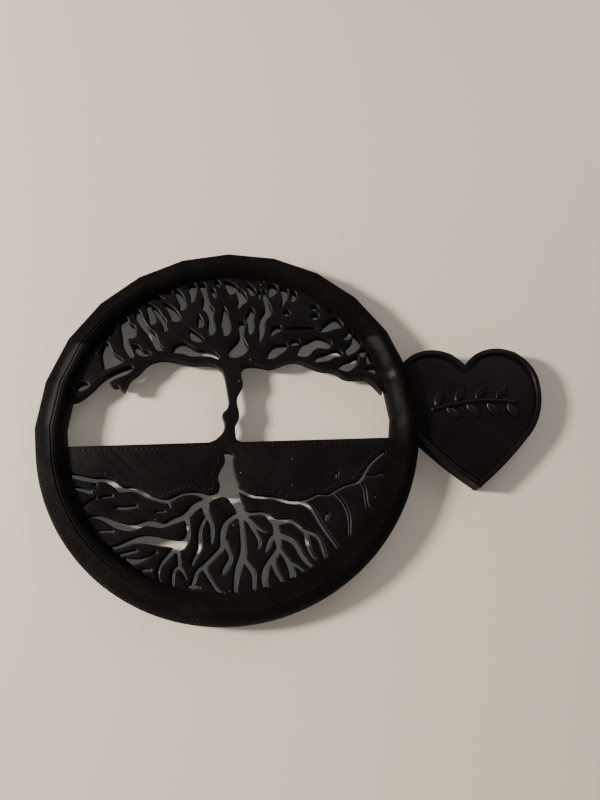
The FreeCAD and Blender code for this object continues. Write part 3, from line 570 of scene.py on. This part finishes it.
@dataclass
class Outline:
    """A flat outline with the triangles that fill it.

    Material lies to the left of each edge. Edge i runs from point i to point after[i].
    """

    points: np.ndarray
    after: np.ndarray
    fill: np.ndarray
    sealed: np.ndarray

    @classmethod
    def of_node(cls, name: str) -> "Outline":
        """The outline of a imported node's flat top.

        The triangles whose three corners lie at the node's greatest height are its top, and an
        edge that only one of them uses, in its direction, is part of the outline.

        Args:
            name: the node.

        Returns:
            Its outline, with no edge sealed yet.
        """
        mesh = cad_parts[name].data
        flat = np.empty(len(mesh.vertices) * 3)
        mesh.vertices.foreach_get("co", flat)
        corners = np.empty(len(mesh.loops), np.int64)
        mesh.loops.foreach_get("vertex_index", corners)
        keys = np.round(flat.reshape(-1, 3) / GRID).astype(np.int64)
        spots, number = np.unique(keys, axis=0, return_inverse=True)
        triangles = number.reshape(-1)[corners.reshape(-1, 3)]
        top = spots[:, 2] >= spots[:, 2].max() - round(TOP_SLACK / GRID)
        triangles = triangles[top[triangles].all(1)]
        distinct = (triangles != np.roll(triangles, 1, 1)).all(1)
        triangles = triangles[distinct]
        used, small = np.unique(triangles, return_inverse=True)
        fill = small.reshape(-1, 3)
        count = len(used)
        edges = np.concatenate([fill[:, [0, 1]], fill[:, [1, 2]], fill[:, [2, 0]]])
        outer = edges[~np.isin(edges @ [count, 1], edges @ [1, count])]
        after = np.arange(count)
        after[outer[:, 0]] = outer[:, 1]
        return cls(spots[used][:, :2] * GRID, after, fill, np.zeros(count, bool))

    @classmethod
    def of_loops(cls, loops: Sequence[np.ndarray]) -> "Outline":
        """An outline from closed loops in millimetres, holes running clockwise.

        Args:
            loops: the loops, the outer one first.

        Returns:
            The outline in metres.
        """
        points = np.concatenate(loops) * MM
        firsts = np.cumsum([0] + [len(loop) for loop in loops])
        after = np.concatenate([np.roll(np.arange(low, high), -1)
                                for low, high in zip(firsts, firsts[1:])])
        raised = [np.pad(loop * MM, ((0, 0), (0, 1))).tolist() for loop in loops]
        fill = np.array(tessellate_polygon(raised))
        clockwise = doubled_areas(points, fill) < 0
        fill[clockwise] = fill[clockwise][:, ::-1]
        return cls(points, after, fill, np.zeros(len(points), bool))

    @property
    def before(self) -> np.ndarray:
        """The point ahead of each point round the outline."""
        back = np.arange(len(self.after))
        back[self.after] = np.arange(len(self.after))
        return back

    def seal_against(self, others: Sequence["Outline"], near: float = 0.02 * MM) -> None:
        """Mark the edges that lie on a neighbour's outline, which are no edges of the print.

        An edge is sealed if its middle is nearer than the limit to some edge of a neighbour.

        Args:
            others: the other outlines.
            near: the limit in metres.
        """
        start = np.concatenate([other.points for other in others])
        run = np.concatenate([other.points[other.after] - other.points for other in others])
        middle = (self.points + self.points[self.after]) * 0.5
        self.sealed = distances(middle, start, run) < near

    def inward(self, distance: float) -> tuple[np.ndarray, np.ndarray]:
        """How far each point goes to draw the outline in by a distance.

        Each edge moves sideways by the distance, or stays where it is sealed, and a point goes to
        where its two edges then cross. Where that would turn an edge or a triangle over, on
        twigs thinner than the rounding, the points there go less far.

        Args:
            distance: the distance in metres.

        Returns:
            The moves, and each point's share of the full distance.
        """
        before, after, here = self.before, self.after, self.points
        run = here[after] - here
        length = np.maximum(np.linalg.norm(run, axis=1, keepdims=True), LEAST)
        side = np.stack([-run[:, 1], run[:, 0]], 1) / length
        last = side[before]
        far = np.where(self.sealed, 0.0, distance)
        far_last = far[before]
        turn = last[:, 0] * side[:, 1] - last[:, 1] * side[:, 0]
        level = np.abs(turn) < NEARLY_STRAIGHT
        safe = np.where(level, 1.0, turn)
        crossing = np.stack([far_last * side[:, 1] - far * last[:, 1],
                             far * last[:, 0] - far_last * side[:, 0]], 1) / safe[:, None]
        straight = 0.5 * (last * far_last[:, None] + side * far[:, None])
        move = np.where(level[:, None], straight, crossing)
        size = np.linalg.norm(move, axis=1, keepdims=True)
        move *= np.minimum(1.0, LONGEST_MITRE * distance / np.maximum(size, LEAST))

        share = np.ones(len(here))
        for _ in range(EASING_ROUNDS):
            moved = here + move * share[:, None]
            kept = ((moved[after] - moved) * run).sum(1) > SHORTEST_EDGE * (run ** 2).sum(1)
            tight = np.zeros(len(here), bool)
            tight[~kept] = True
            tight[after[~kept]] = True
            tight[self.fill[doubled_areas(moved, self.fill) < TURNED_OVER].ravel()] = True
            if not tight.any():
                break
            share[tight] *= EASING
            spread = EASING_SPREAD * (share[before] + share[after])
            eased = (1.0 - 2.0 * EASING_SPREAD) * share + spread + EASING_SLACK
            share = np.minimum(share, eased)
        return move * share[:, None], share


@dataclass
class LayeredSlab:
    """A flat shape printed in layers: beaded walls, rounded top edge and flat faces."""

    low: float
    high: float
    layer: float = 0.2
    bead_depth: float = 0.035
    rounding: float = 0.42
    edge_rings: int = 5

    def skin(self, outline: Outline) -> Skin:
        """Raise an outline.

        Ring by ring from the underside, the wall goes in by the bead's depth between two layers
        and out to the outline in the middle of each. The last rings follow a quarter of a circle:
        in by the rounding times 1 - cos t and up by the rounding times sin t.

        Args:
            outline: the flat shape.

        Returns:
            The closed skin.
        """
        move, share = outline.inward(self.rounding * MM)
        top = self.high - self.rounding
        layers = max(1, round((top - self.low) / self.layer))
        heights = np.linspace(self.low, top, 2 * layers + 1)
        drawn_in = np.where(np.arange(len(heights)) % 2 == 0, self.bead_depth / self.rounding, 0.0)
        flat = outline.points[None] + move[None] * drawn_in[:, None, None]
        wall = np.concatenate([flat, np.broadcast_to(
            (heights * MM)[:, None, None], (len(heights), len(outline.points), 1))], -1)
        turn = np.linspace(0.0, math.pi / 2, self.edge_rings)
        over = outline.points[None] + move[None] * (1.0 - np.cos(turn))[:, None, None]
        rise = self.high * MM - self.rounding * MM * share[None] * (1.0 - np.sin(turn))[:, None]
        edge = np.concatenate([over, rise[..., None]], -1)
        rings = np.concatenate([wall, edge])
        count = len(outline.points)
        last = (len(rings) - 1) * count
        return Skin(rings.reshape(-1, 3), [
            ring_faces(count, len(rings), outline.after),
            outline.fill[:, ::-1], outline.fill + last])


# ---------------------------------------------------------------------------------------------
# Sub-assemblies
# ---------------------------------------------------------------------------------------------


@dataclass
class Hoop:
    """The round-section hoop, built up of layers: flat runs above, truly round below.

    A wave is its depth and how often it goes round. The seam's blobs are the least and the
    greatest bulge of a layer there.
    """

    finish: PrintedPlastic
    tube_radius: float = 3.75
    tube_height: float = 3.5
    ring_radius: float = 43.375
    facet: float = 15.0
    layers: int = 36
    bead_depth: float = 0.03
    bead_points: int = 5
    misfit: float = 0.012
    waves: tuple[tuple[float, int], ...] = ((0.010, 5), (0.008, 17), (0.004, 41))
    stations_round: int = 144
    seam_angle: float = 15.0
    seam_spread: float = 0.35
    seam_blobs: tuple[float, float] = (0.02, 0.13)
    crease: float = 50.0
    seed: int = 7

    def stations(self) -> np.ndarray:
        """The angles at which the section is set down, with three close together at the seam."""
        steady = np.arange(self.stations_round) * 360.0 / self.stations_round - self.facet / 2
        close = self.seam_angle + self.seam_spread * np.array([-1.0, 1.0])
        return np.sort(np.concatenate([steady, close]))

    def section(self, rng: np.random.Generator) -> tuple[np.ndarray, np.ndarray, np.ndarray]:
        """The tube's section as half widths and heights, layer by layer, bottom to top.

        A layer's half width is the root of the radius squared less its middle's height from the
        centre squared. Its edge is a half ellipse, half a layer high and as deep as a bead.

        Args:
            rng: the source of the layers' small misfits.

        Returns:
            Half widths, heights and each point's layer.
        """
        top = self.tube_height + self.tube_radius
        level = np.linspace(0.0, top, self.layers + 1)
        middle = 0.5 * (level[:-1] + level[1:])
        half = np.sqrt(self.tube_radius ** 2 - (middle - self.tube_height) ** 2)
        half = half + rng.normal(0.0, self.misfit, self.layers)
        turn = np.radians(np.linspace(-90.0, 90.0, self.bead_points))
        widths = half[:, None] - self.bead_depth * (1.0 - np.cos(turn))
        heights = middle[:, None] + 0.5 * (level[1] - level[0]) * np.sin(turn)
        layer = np.repeat(np.arange(self.layers), len(turn))
        return widths.ravel(), heights.ravel(), layer

    def build(self) -> bpy.types.Object:
        """Carry the section round the hoop.

        A point at half width a and angle t stands at the ring's radius plus or minus a, divided
        by the cosine of t's distance from the middle of its flat run; below the middle line that
        divisor is 1, so the hoop is round there. Each layer wanders by slow sine waves of its
        own, and bulges a little at the seam.

        Returns:
            The hoop.
        """
        rng = np.random.default_rng(self.seed)
        width, height, layer = self.section(rng)
        angle = self.stations()
        faceted = (angle >= -self.facet / 2) & (angle <= 180.0 + self.facet / 2)
        run_middle = self.facet * (np.floor(angle / self.facet) + 0.5)
        stretch = np.where(faceted, 1.0 / np.cos(np.radians(angle - run_middle)), 1.0)
        phase = rng.uniform(0.0, 2 * math.pi, (len(self.waves), self.layers))
        turn = np.radians(angle)[:, None]
        wander = sum(depth * np.sin(lobes * turn + start)
                     for (depth, lobes), start in zip(self.waves, phase))
        at_seam = np.abs(angle - self.seam_angle) < self.seam_spread / 2
        blob = np.where(at_seam, 1.0, 0.0)[:, None]
        wander = (wander + blob * rng.uniform(*self.seam_blobs, self.layers))[:, layer]
        outer = self.ring_radius + (width + wander)
        inner = self.ring_radius - (width + wander)
        radius = np.concatenate([outer, inner[:, ::-1]], 1) * stretch[:, None]
        tall = np.concatenate([height, height[::-1]])
        points = np.stack([radius * np.cos(turn), radius * np.sin(turn),
                           np.broadcast_to(tall, radius.shape)], -1).reshape(-1, 3) * MM
        count = radius.shape[1]
        here = np.arange(count)
        following = np.roll(here, -1)
        low = (np.arange(len(angle)) * count)[:, None]
        high = np.roll(low, -1, 0)
        quads = np.stack([low + here, high + here, high + following, low + following], -1)
        runs = angle / self.facet
        corner = faceted & np.isclose(runs, np.round(runs), rtol=0.0, atol=1e-6)
        number = np.repeat(np.where(corner, np.arange(len(angle)) + 1, 0), count)
        made = Skin(points, [quads.reshape(-1, 4)]).piece(
            "printed_hoop", self.finish.material(), Slot.HOOP, self.crease, number)
        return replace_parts(made, "hoop")


@dataclass
class TurnMarks:
    """The row of small marks where the print's inner lines turn round, inside a panel's edge."""

    pitch: float = 1.27
    inset: float = 1.05
    half_length: float = 0.36
    half_width: float = 0.22
    rise: float = 0.08
    within: float = 38.6
    clearance: float = 0.9
    corners: int = 10
    climbs: tuple[float, ...] = (-20.0, 10.0, 45.0, 75.0)
    crease: float = 80.0

    def spots(self, outline: Outline) -> np.ndarray:
        """Where the marks stand.

        The inner lines run at 45 degrees, so they turn where x + y passes a whole number of
        pitches along an open edge. A mark stands there, moved in by the inset. A mark that is
        nearer to any edge than the clearance's share of the inset is left out.

        Args:
            outline: the panel's outline.

        Returns:
            The marks' centres in metres.
        """
        start = outline.points
        run = start[outline.after] - start
        length = np.maximum(np.linalg.norm(run, axis=1), LEAST)
        first = start.sum(1) / (self.pitch * MM)
        gain = run.sum(1) / (self.pitch * MM)
        low = np.ceil(np.minimum(first, first + gain))
        count = (np.ceil(np.maximum(first, first + gain)) - low).astype(int)
        count[outline.sealed] = 0
        edge = np.repeat(np.arange(len(start)), count)
        nth = np.arange(len(edge)) - (np.cumsum(count) - count)[edge]
        share = (low[edge] + nth - first[edge]) / gain[edge]
        side = np.stack([-run[edge, 1], run[edge, 0]], 1) / length[edge, None]
        spots = start[edge] + run[edge] * share[:, None] + side * self.inset * MM
        clear = distances(spots, start, run) > self.clearance * self.inset * MM
        inside = np.linalg.norm(spots, axis=1) < self.within * MM
        return spots[clear & inside]

    def build(self, node: str, outline: Outline, height: float,
              material: bpy.types.Material) -> bpy.types.Object:
        """Set a low dome at every spot.

        A dome is an ellipse turned to 45 degrees, drawn in by cos t and raised by the rise times
        sin t, with a ring at each climb t and its foot just under the panel's face.

        Args:
            node: the panel's node.
            outline: its outline.
            height: its top's height in millimetres.
            material: the tree's finish.

        Returns:
            The marks as one piece.
        """
        spots = self.spots(outline)
        turn = np.linspace(0.0, 2 * math.pi, self.corners, endpoint=False)
        climb = np.radians(self.climbs)[:, None]
        u = self.half_length * np.cos(turn) * np.cos(climb)
        v = self.half_width * np.sin(turn) * np.cos(climb)
        w = np.broadcast_to(self.rise * np.sin(climb), u.shape)
        lean = math.sqrt(0.5)
        dome = np.stack([(u - v) * lean, (u + v) * lean, w + height], -1).reshape(-1, 3) * MM
        centres = np.concatenate([spots, np.zeros((len(spots), 1))], 1)
        points = (centres[:, None] + dome[None]).reshape(-1, 3)
        shift = (np.arange(len(spots)) * len(dome))[:, None, None]
        round_once = np.arange(self.corners)
        top = len(dome) - self.corners
        sides = (ring_faces(self.corners, len(self.climbs))[None] + shift).reshape(-1, 4)
        lid = (top + round_once[None] + shift[..., 0]).reshape(-1, self.corners)
        foot = (round_once[::-1][None] + shift[..., 0]).reshape(-1, self.corners)
        return Skin(points, [sides, lid, foot]).piece(
            f"turn_marks_{node}", material, Slot.TREE, self.crease)


@dataclass
class Tree:
    """Trunk, limbs, boughs, soil and root beds, each a layered slab with rounded edges."""

    finish: PrintedPlastic
    nodes: tuple[str, ...] = (
        "trunk", "left_limb", "left_boughs", "upper_left_boughs", "top_left_boughs",
        "top_centre_boughs", "top_right_boughs", "upper_right_boughs", "right_boughs",
        "right_limb", "soil_left", "root_bed_far_left", "root_bed_left", "root_bed_lower_left",
        "root_bed_centre_left", "root_bed_centre", "root_bed_centre_right",
        "root_bed_lower_right", "root_bed_right", "soil_right")
    panels: tuple[str, ...] = ("soil_left", "soil_right")

    def build(self) -> list[bpy.types.Object]:
        """Build every piece of the tree and the turn marks on the two soil panels.

        Returns:
            The pieces.
        """
        material = self.finish.material()
        outlines = {name: Outline.of_node(name) for name in self.nodes}
        for name, outline in outlines.items():
            outline.seal_against([other for key, other in outlines.items() if key != name])
        made = []
        for name, outline in outlines.items():
            low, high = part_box(name)
            slab = LayeredSlab(low.z / MM, high.z / MM)
            piece = slab.skin(outline).piece(f"printed_{name}", material, Slot.TREE)
            made.append(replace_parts(piece, name))
            if name in self.panels:
                made.append(TurnMarks().build(name, outline, high.z / MM, material))
        return made


@dataclass
class Heart:
    """The heart: a thick plate with a raised rim round its face."""

    finish: PrintedPlastic
    lobe_radius: float = 10.15
    lobe_centre: tuple[float, float] = (8.35, 8.0)
    waist: tuple[float, float] = (15.0, -3.9)
    upper_bulge: float = 1.1
    lower_bulge: float = 0.5
    tip: float = -17.7
    toe: tuple[float, float] = (0.7, -17.2)
    rim_width: float = 1.25
    plate_rounding: float = 0.05
    plate_bead: float = 0.04
    rim_rounding: float = 0.24
    lobe_steps: int = 56
    upper_steps: int = 24
    lower_steps: int = 32
    toe_steps: int = 12
    notch_steps: int = 8
    middle_gap: float = 0.02

    @property
    def centre(self) -> float:
        """The heart's middle line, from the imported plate's right edge."""
        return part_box("heart_plate")[1].x / MM - self.lobe_centre[0] - self.lobe_radius

    def bulged(self, start: np.ndarray, end: np.ndarray, bulge: float) -> np.ndarray:
        """The point beside a chord's middle, to its left by the bulge."""
        run = (end - start) / np.linalg.norm(end - start)
        return (start + end) * 0.5 + bulge * np.array([-run[1], run[0]])

    def outline(self, inset: float) -> np.ndarray:
        """The heart drawn in by an inset, anticlockwise, in millimetres.

        The right half is a lobe's arc from the notch to the side, an arc from the side to the
        waist and an arc from the waist to the toe. The inset makes each radius smaller; at the
        notch it opens a round of its own size, and at the foot the half is carried straight on
        to the middle line. The left half is the mirror image.

        Args:
            inset: how far in from the edge.

        Returns:
            The closed loop's points.
        """
        cx, cy = self.lobe_centre
        r = self.lobe_radius
        notch = np.array([0.0, cy + math.sqrt(r ** 2 - cx ** 2)])
        side = np.array([cx + r, cy])
        crest = np.array([cx, cy + r])
        waist, toe = np.array(self.waist), np.array(self.toe)
        above = self.bulged(side, waist, self.upper_bulge)
        below = self.bulged(waist, toe, self.lower_bulge)
        lobe = arc(notch, crest, side, inset, self.lobe_steps)
        upper = arc(side, above, waist, inset, self.upper_steps)
        lower = arc(waist, below, toe, inset, self.lower_steps)
        parts = [lobe, upper[1:], lower[1:]]
        if inset > 0:
            start = math.atan2(*(lobe[0] - notch)[::-1])
            turn = np.linspace(-math.pi / 2, start, self.notch_steps, endpoint=False)
            parts.insert(0, notch + inset * np.stack([np.cos(turn), np.sin(turn)], 1))
            half = np.concatenate(parts)
            half = half[(half[:, 0] > self.middle_gap) | (half[:, 1] > 0.0)]
            run = half[-1] - half[-2]
            foot = half[-1] - run * (half[-1, 0] / run[0])
            half = np.concatenate([half, foot[None]])
        else:
            toe_arc = arc(toe, (0.0, self.tip), (-toe[0], toe[1]), 0.0, self.toe_steps)
            half = np.concatenate(parts + [toe_arc[1:self.toe_steps // 2 + 1]])
        half[0, 0] = half[-1, 0] = 0.0
        mirrored = half[1:-1][::-1] * [-1.0, 1.0]
        loop = np.concatenate([half, mirrored])[::-1]
        return loop + [self.centre, 0.0]

    def build(self) -> list[bpy.types.Object]:
        """Build the plate and its rim.

        Returns:
            The two pieces.
        """
        material = self.finish.material()
        plate_low, plate_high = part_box("heart_plate")
        rim_low, rim_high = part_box("heart_rim")
        whole = self.outline(0.0)
        hollow = self.outline(self.rim_width)[::-1]
        plate = LayeredSlab(plate_low.z / MM, plate_high.z / MM, rounding=self.plate_rounding,
                            bead_depth=self.plate_bead)
        rim = LayeredSlab(rim_low.z / MM, rim_high.z / MM, rounding=self.rim_rounding)
        return [
            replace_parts(plate.skin(Outline.of_loops([whole])).piece(
                "printed_heart_plate", material, Slot.HEART), "heart_plate"),
            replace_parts(rim.skin(Outline.of_loops([whole, hollow])).piece(
                "printed_heart_rim", material, Slot.HEART), "heart_rim")]


@dataclass
class Sprig:
    """The raised sprig on the heart's face: a bowed stem and crowned leaves.

    Lengths that end in `share` are shares of the stem or of a leaf. Both go under the face by
    the sunk depth, so that no gap shows.
    """

    finish: PrintedPlastic
    centre: float
    foot: tuple[float, float] = (-9.8, 2.2)
    tip: tuple[float, float] = (12.2, 3.6)
    sag: float = 1.3
    stem_widths: tuple[float, float] = (1.0, 0.7)
    leaves: int = 8
    leaf_length: float = 4.6
    leaf_width: float = 2.1
    spread: float = 52.0
    leaf_zone: float = 0.94
    sunk: float = 0.05
    stem_stations: int = 61
    stem_corners: int = 11
    end_share: float = 0.022
    blunt: float = 0.02
    squareness: float = 0.6
    end_height: float = 0.35
    leaf_grid: tuple[int, int] = (25, 17)
    leaf_end_share: float = 0.015
    fullness: float = 0.8
    fall: float = 0.55
    fall_power: float = 2.2
    swell: float = 0.35
    thinnest: float = 0.1
    vein_depth: float = 0.22
    vein_width: float = 0.10
    crease: float = 60.0

    def stem(self, share: np.ndarray) -> tuple[np.ndarray, np.ndarray]:
        """Points of the stem and its heading.

        The stem runs straight from foot to tip, raised by 4 sag s (1 - s).

        Args:
            share: how far along, from 0 to 1.

        Returns:
            The points in millimetres and the headings in radians.
        """
        (x0, y0), (x1, y1) = self.foot, self.tip
        x = x0 + (x1 - x0) * share
        y = y0 + (y1 - y0) * share + 4 * self.sag * share * (1 - share)
        slope = (y1 - y0 + 4 * self.sag * (1 - 2 * share)) / (x1 - x0)
        return np.stack([x + self.centre, y], -1), np.arctan(slope)

    def build_stem(self, low: float, high: float, material: bpy.types.Material) -> bpy.types.Object:
        """A rib along the stem that narrows to a blunt round at each end.

        Round the section by an angle t from 0 to pi, a point goes across as the cosine of t and
        up as its sine, each to the power of the squareness. Over the end share the width falls as
        a quarter circle, the root of 1 less the square of the way into it.

        Args:
            low: the face's height.
            high: the sprig's height.
            material: the heart's finish.

        Returns:
            The stem.
        """
        share = np.linspace(0.0, 1.0, self.stem_stations)
        line, heading = self.stem(share)
        end = np.minimum(share, 1.0 - share) / self.end_share
        cap = np.sqrt(1.0 - (1.0 - np.clip(end, self.blunt, 1.0)) ** 2)
        first, last = self.stem_widths
        half = 0.5 * (first + (last - first) * share) * cap
        turn = np.linspace(0.0, math.pi, self.stem_corners)
        across = np.sign(np.cos(turn)) * np.abs(np.cos(turn)) ** self.squareness
        tall = np.abs(np.sin(turn)) ** self.squareness
        normal = np.stack([-np.sin(heading), np.cos(heading)], -1)
        flat = line[:, None] - normal[:, None] * (half[:, None] * across)[..., None]
        reach = self.end_height + (1.0 - self.end_height) * cap
        up = low - self.sunk + (high - low + self.sunk) * tall[None] * reach[:, None]
        grid = np.concatenate([flat, up[..., None]], -1)
        return self.strip(grid).piece("printed_sprig_stem", material, Slot.HEART, self.crease)

    def strip(self, grid: np.ndarray) -> Skin:
        """A closed skin over a row of sections.

        Args:
            grid: the sections one after another, each a ring of points in millimetres.

        Returns:
            The skin, with a face at each end.
        """
        rows, columns, _ = grid.shape
        here = np.arange(columns)
        low = (np.arange(rows - 1) * columns)[:, None]
        following = np.roll(here, -1)
        quads = np.stack([low + here, low + columns + here, low + columns + following,
                          low + following], -1).reshape(-1, 4)
        ends = [here[None, :], (here[::-1] + (rows - 1) * columns)[None]]
        return Skin(grid.reshape(-1, 3) * MM, [quads, *ends])

    def build_leaves(self, low: float, high: float,
                     material: bpy.types.Material) -> bpy.types.Object:
        """All the leaves in one piece.

        Along a leaf, s from 0 to 1, the half width is half the leaf's width times 4 s (1 - s) to
        the power of the fullness. Across it, v from -1 to 1, the height is 1 less the fall times
        |v| to the fall power, times the half width's share to the power of the swell. A narrow
        groove along the middle vein is taken off it.

        Args:
            low: the face's height.
            high: the sprig's height.
            material: the heart's finish.

        Returns:
            The leaves.
        """
        number = np.arange(self.leaves)
        share = (number + 0.5) / self.leaves * self.leaf_zone
        side = np.where(number % 2 == 0, 1.0, -1.0)
        line, heading = self.stem(share)
        angle = heading + side * math.radians(self.spread)
        start = line + np.stack([0 * side, side * max(self.stem_widths) / 2], -1)
        rows, columns = self.leaf_grid
        s = np.linspace(self.leaf_end_share, 1.0 - self.leaf_end_share, rows)[:, None]
        v = np.linspace(-1.0, 1.0, columns)[None]
        half = 0.5 * self.leaf_width * (4 * s * (1 - s)) ** self.fullness
        slim = half / half.max()
        vein = self.vein_depth * np.exp(-(v / self.vein_width) ** 2) * np.sqrt(slim)
        crown = (1 - self.fall * np.abs(v) ** self.fall_power) * slim ** self.swell - vein
        up = low + (high - low) * np.clip(crown, self.thinnest, 1.0)
        along = np.broadcast_to(s * self.leaf_length, up.shape)
        top = np.stack([along, half * v, up], -1)
        foot = top.copy()
        foot[..., 2] = low - self.sunk
        ring = np.concatenate([top, foot[:, [-1, 0]]], 1)
        cos, sin = np.cos(angle)[:, None, None], np.sin(angle)[:, None, None]
        x = start[:, 0, None, None] + ring[None, ..., 0] * cos - ring[None, ..., 1] * sin
        y = start[:, 1, None, None] + ring[None, ..., 0] * sin + ring[None, ..., 1] * cos
        grid = np.stack([x, y, np.broadcast_to(ring[None, ..., 2], x.shape)], -1)
        skins = [self.strip(one) for one in grid]
        sizes = np.cumsum([0] + [len(skin.points) for skin in skins])
        blocks = [block + shift for skin, shift in zip(skins, sizes) for block in skin.faces]
        return Skin(np.concatenate([skin.points for skin in skins]), blocks).piece(
            "printed_sprig_leaves", material, Slot.HEART, self.crease)

    def build(self) -> list[bpy.types.Object]:
        """Build the stem and its leaves.

        Returns:
            The two pieces.
        """
        material = self.finish.material()
        low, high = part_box("sprig_stem")
        stem = self.build_stem(low.z / MM, high.z / MM, material)
        leaves = self.build_leaves(low.z / MM, high.z / MM, material)
        return [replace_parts(stem, "sprig_stem"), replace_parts(leaves, "sprig_leaves")]


# ---------------------------------------------------------------------------------------------
# Studio
# ---------------------------------------------------------------------------------------------


@dataclass(frozen=True)
class Lamp:
    """A soft square light, with its power in watts."""

    name: str
    place: tuple[float, float, float]
    power: float
    width: float
    colour: tuple[float, float, float]

    def hang(self, target: tuple[float, float, float]) -> None:
        """Hang the lamp and turn it to a target, in millimetres."""
        data = bpy.data.lights.new(self.name, "AREA")
        data.shape = "SQUARE"
        data.size = self.width * MM
        data.energy = self.power
        data.color = self.colour
        light = bpy.data.objects.new(self.name, data)
        light.location = Vector(self.place) * MM
        aim = Vector(target) * MM - light.location
        light.rotation_euler = aim.to_track_quat("-Z", "Y").to_euler()
        bpy.context.scene.collection.objects.link(light)


@dataclass
class Studio:
    """Table, lights and camera."""

    table: TableTop = field(default_factory=TableTop)
    table_half: float = 1400.0
    lamps: tuple[Lamp, ...] = (
        Lamp("key", (-520.0, 60.0, 310.0), 7.7, 90.0, (1.0, 0.945, 0.875)),
        Lamp("fill", (420.0, 560.0, 420.0), 1.0, 300.0, (0.93, 0.95, 1.0)))
    target: tuple[float, float, float] = (12.0, 0.0, 0.0)
    horizon: tuple[float, float, float] = (1.0, 0.96, 0.92)
    zenith: tuple[float, float, float] = (0.16, 0.155, 0.15)
    sky_strength: float = 0.69
    eye: tuple[float, float, float] = (13.97, -39.30, 147.8)
    tilt: tuple[float, float, float] = (17.47, -0.92, -1.95)
    lens: float = 27.0
    film_width: float = 36.0
    nearest: float = 5.0

    def build_table(self) -> None:
        """A large flat table in the plane that the ornament lies on."""
        half = self.table_half * MM
        points = np.array([[-half, -half, 0], [half, -half, 0], [half, half, 0], [-half, half, 0]])
        mesh = bpy.data.meshes.new("table")
        mesh.from_pydata(points.tolist(), [], [(0, 1, 2, 3)])
        mesh.materials.append(self.table.material())
        table = bpy.data.objects.new("table", mesh)
        bpy.context.scene.collection.objects.link(table)

    def build_sky(self) -> None:
        """A soft surround, pale at the horizon and dim overhead.

        The colour goes from the horizon's to the zenith's as the direction's height, 0 to 1.
        """
        sheet = ShaderSheet(bpy.data.worlds.new("surround"))
        way = sheet.node("ShaderNodeTexCoord", output="Generated")
        height = sheet.node("ShaderNodeSeparateXYZ", None, {0: way}, output="Z")
        colour = sheet.blend(height, rgba(self.horizon), rgba(self.zenith))
        bpy.context.scene.world = sheet.finish(sheet.node("ShaderNodeBackground", None, {
            "Color": colour, "Strength": self.sky_strength}), "ShaderNodeOutputWorld")

    def build_camera(self) -> None:
        """The camera above the ornament, looking down and a little away from the viewer."""
        data = bpy.data.cameras.new("camera")
        data.lens = self.lens
        data.sensor_width = self.film_width
        data.clip_start = self.nearest * MM
        camera = bpy.data.objects.new("camera", data)
        camera.location = Vector(self.eye) * MM
        camera.rotation_euler = Euler([math.radians(value) for value in self.tilt], "XYZ")
        bpy.context.scene.collection.objects.link(camera)
        bpy.context.scene.camera = camera

    def build(self) -> None:
        """Set up the whole studio."""
        self.build_table()
        self.build_sky()
        for lamp in self.lamps:
            lamp.hang(self.target)
        self.build_camera()


def main() -> None:
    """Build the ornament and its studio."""
    logging.basicConfig(level=logging.INFO, format="%(name)s: %(message)s")
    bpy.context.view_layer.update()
    Hoop(HOOP_BLACK).build()
    Tree(TREE_BLACK).build()
    heart = Heart(HEART_BLACK)
    heart.build()
    Sprig(HEART_BLACK, heart.centre).build()
    Studio().build()


if __name__ == "__main__":
    main()
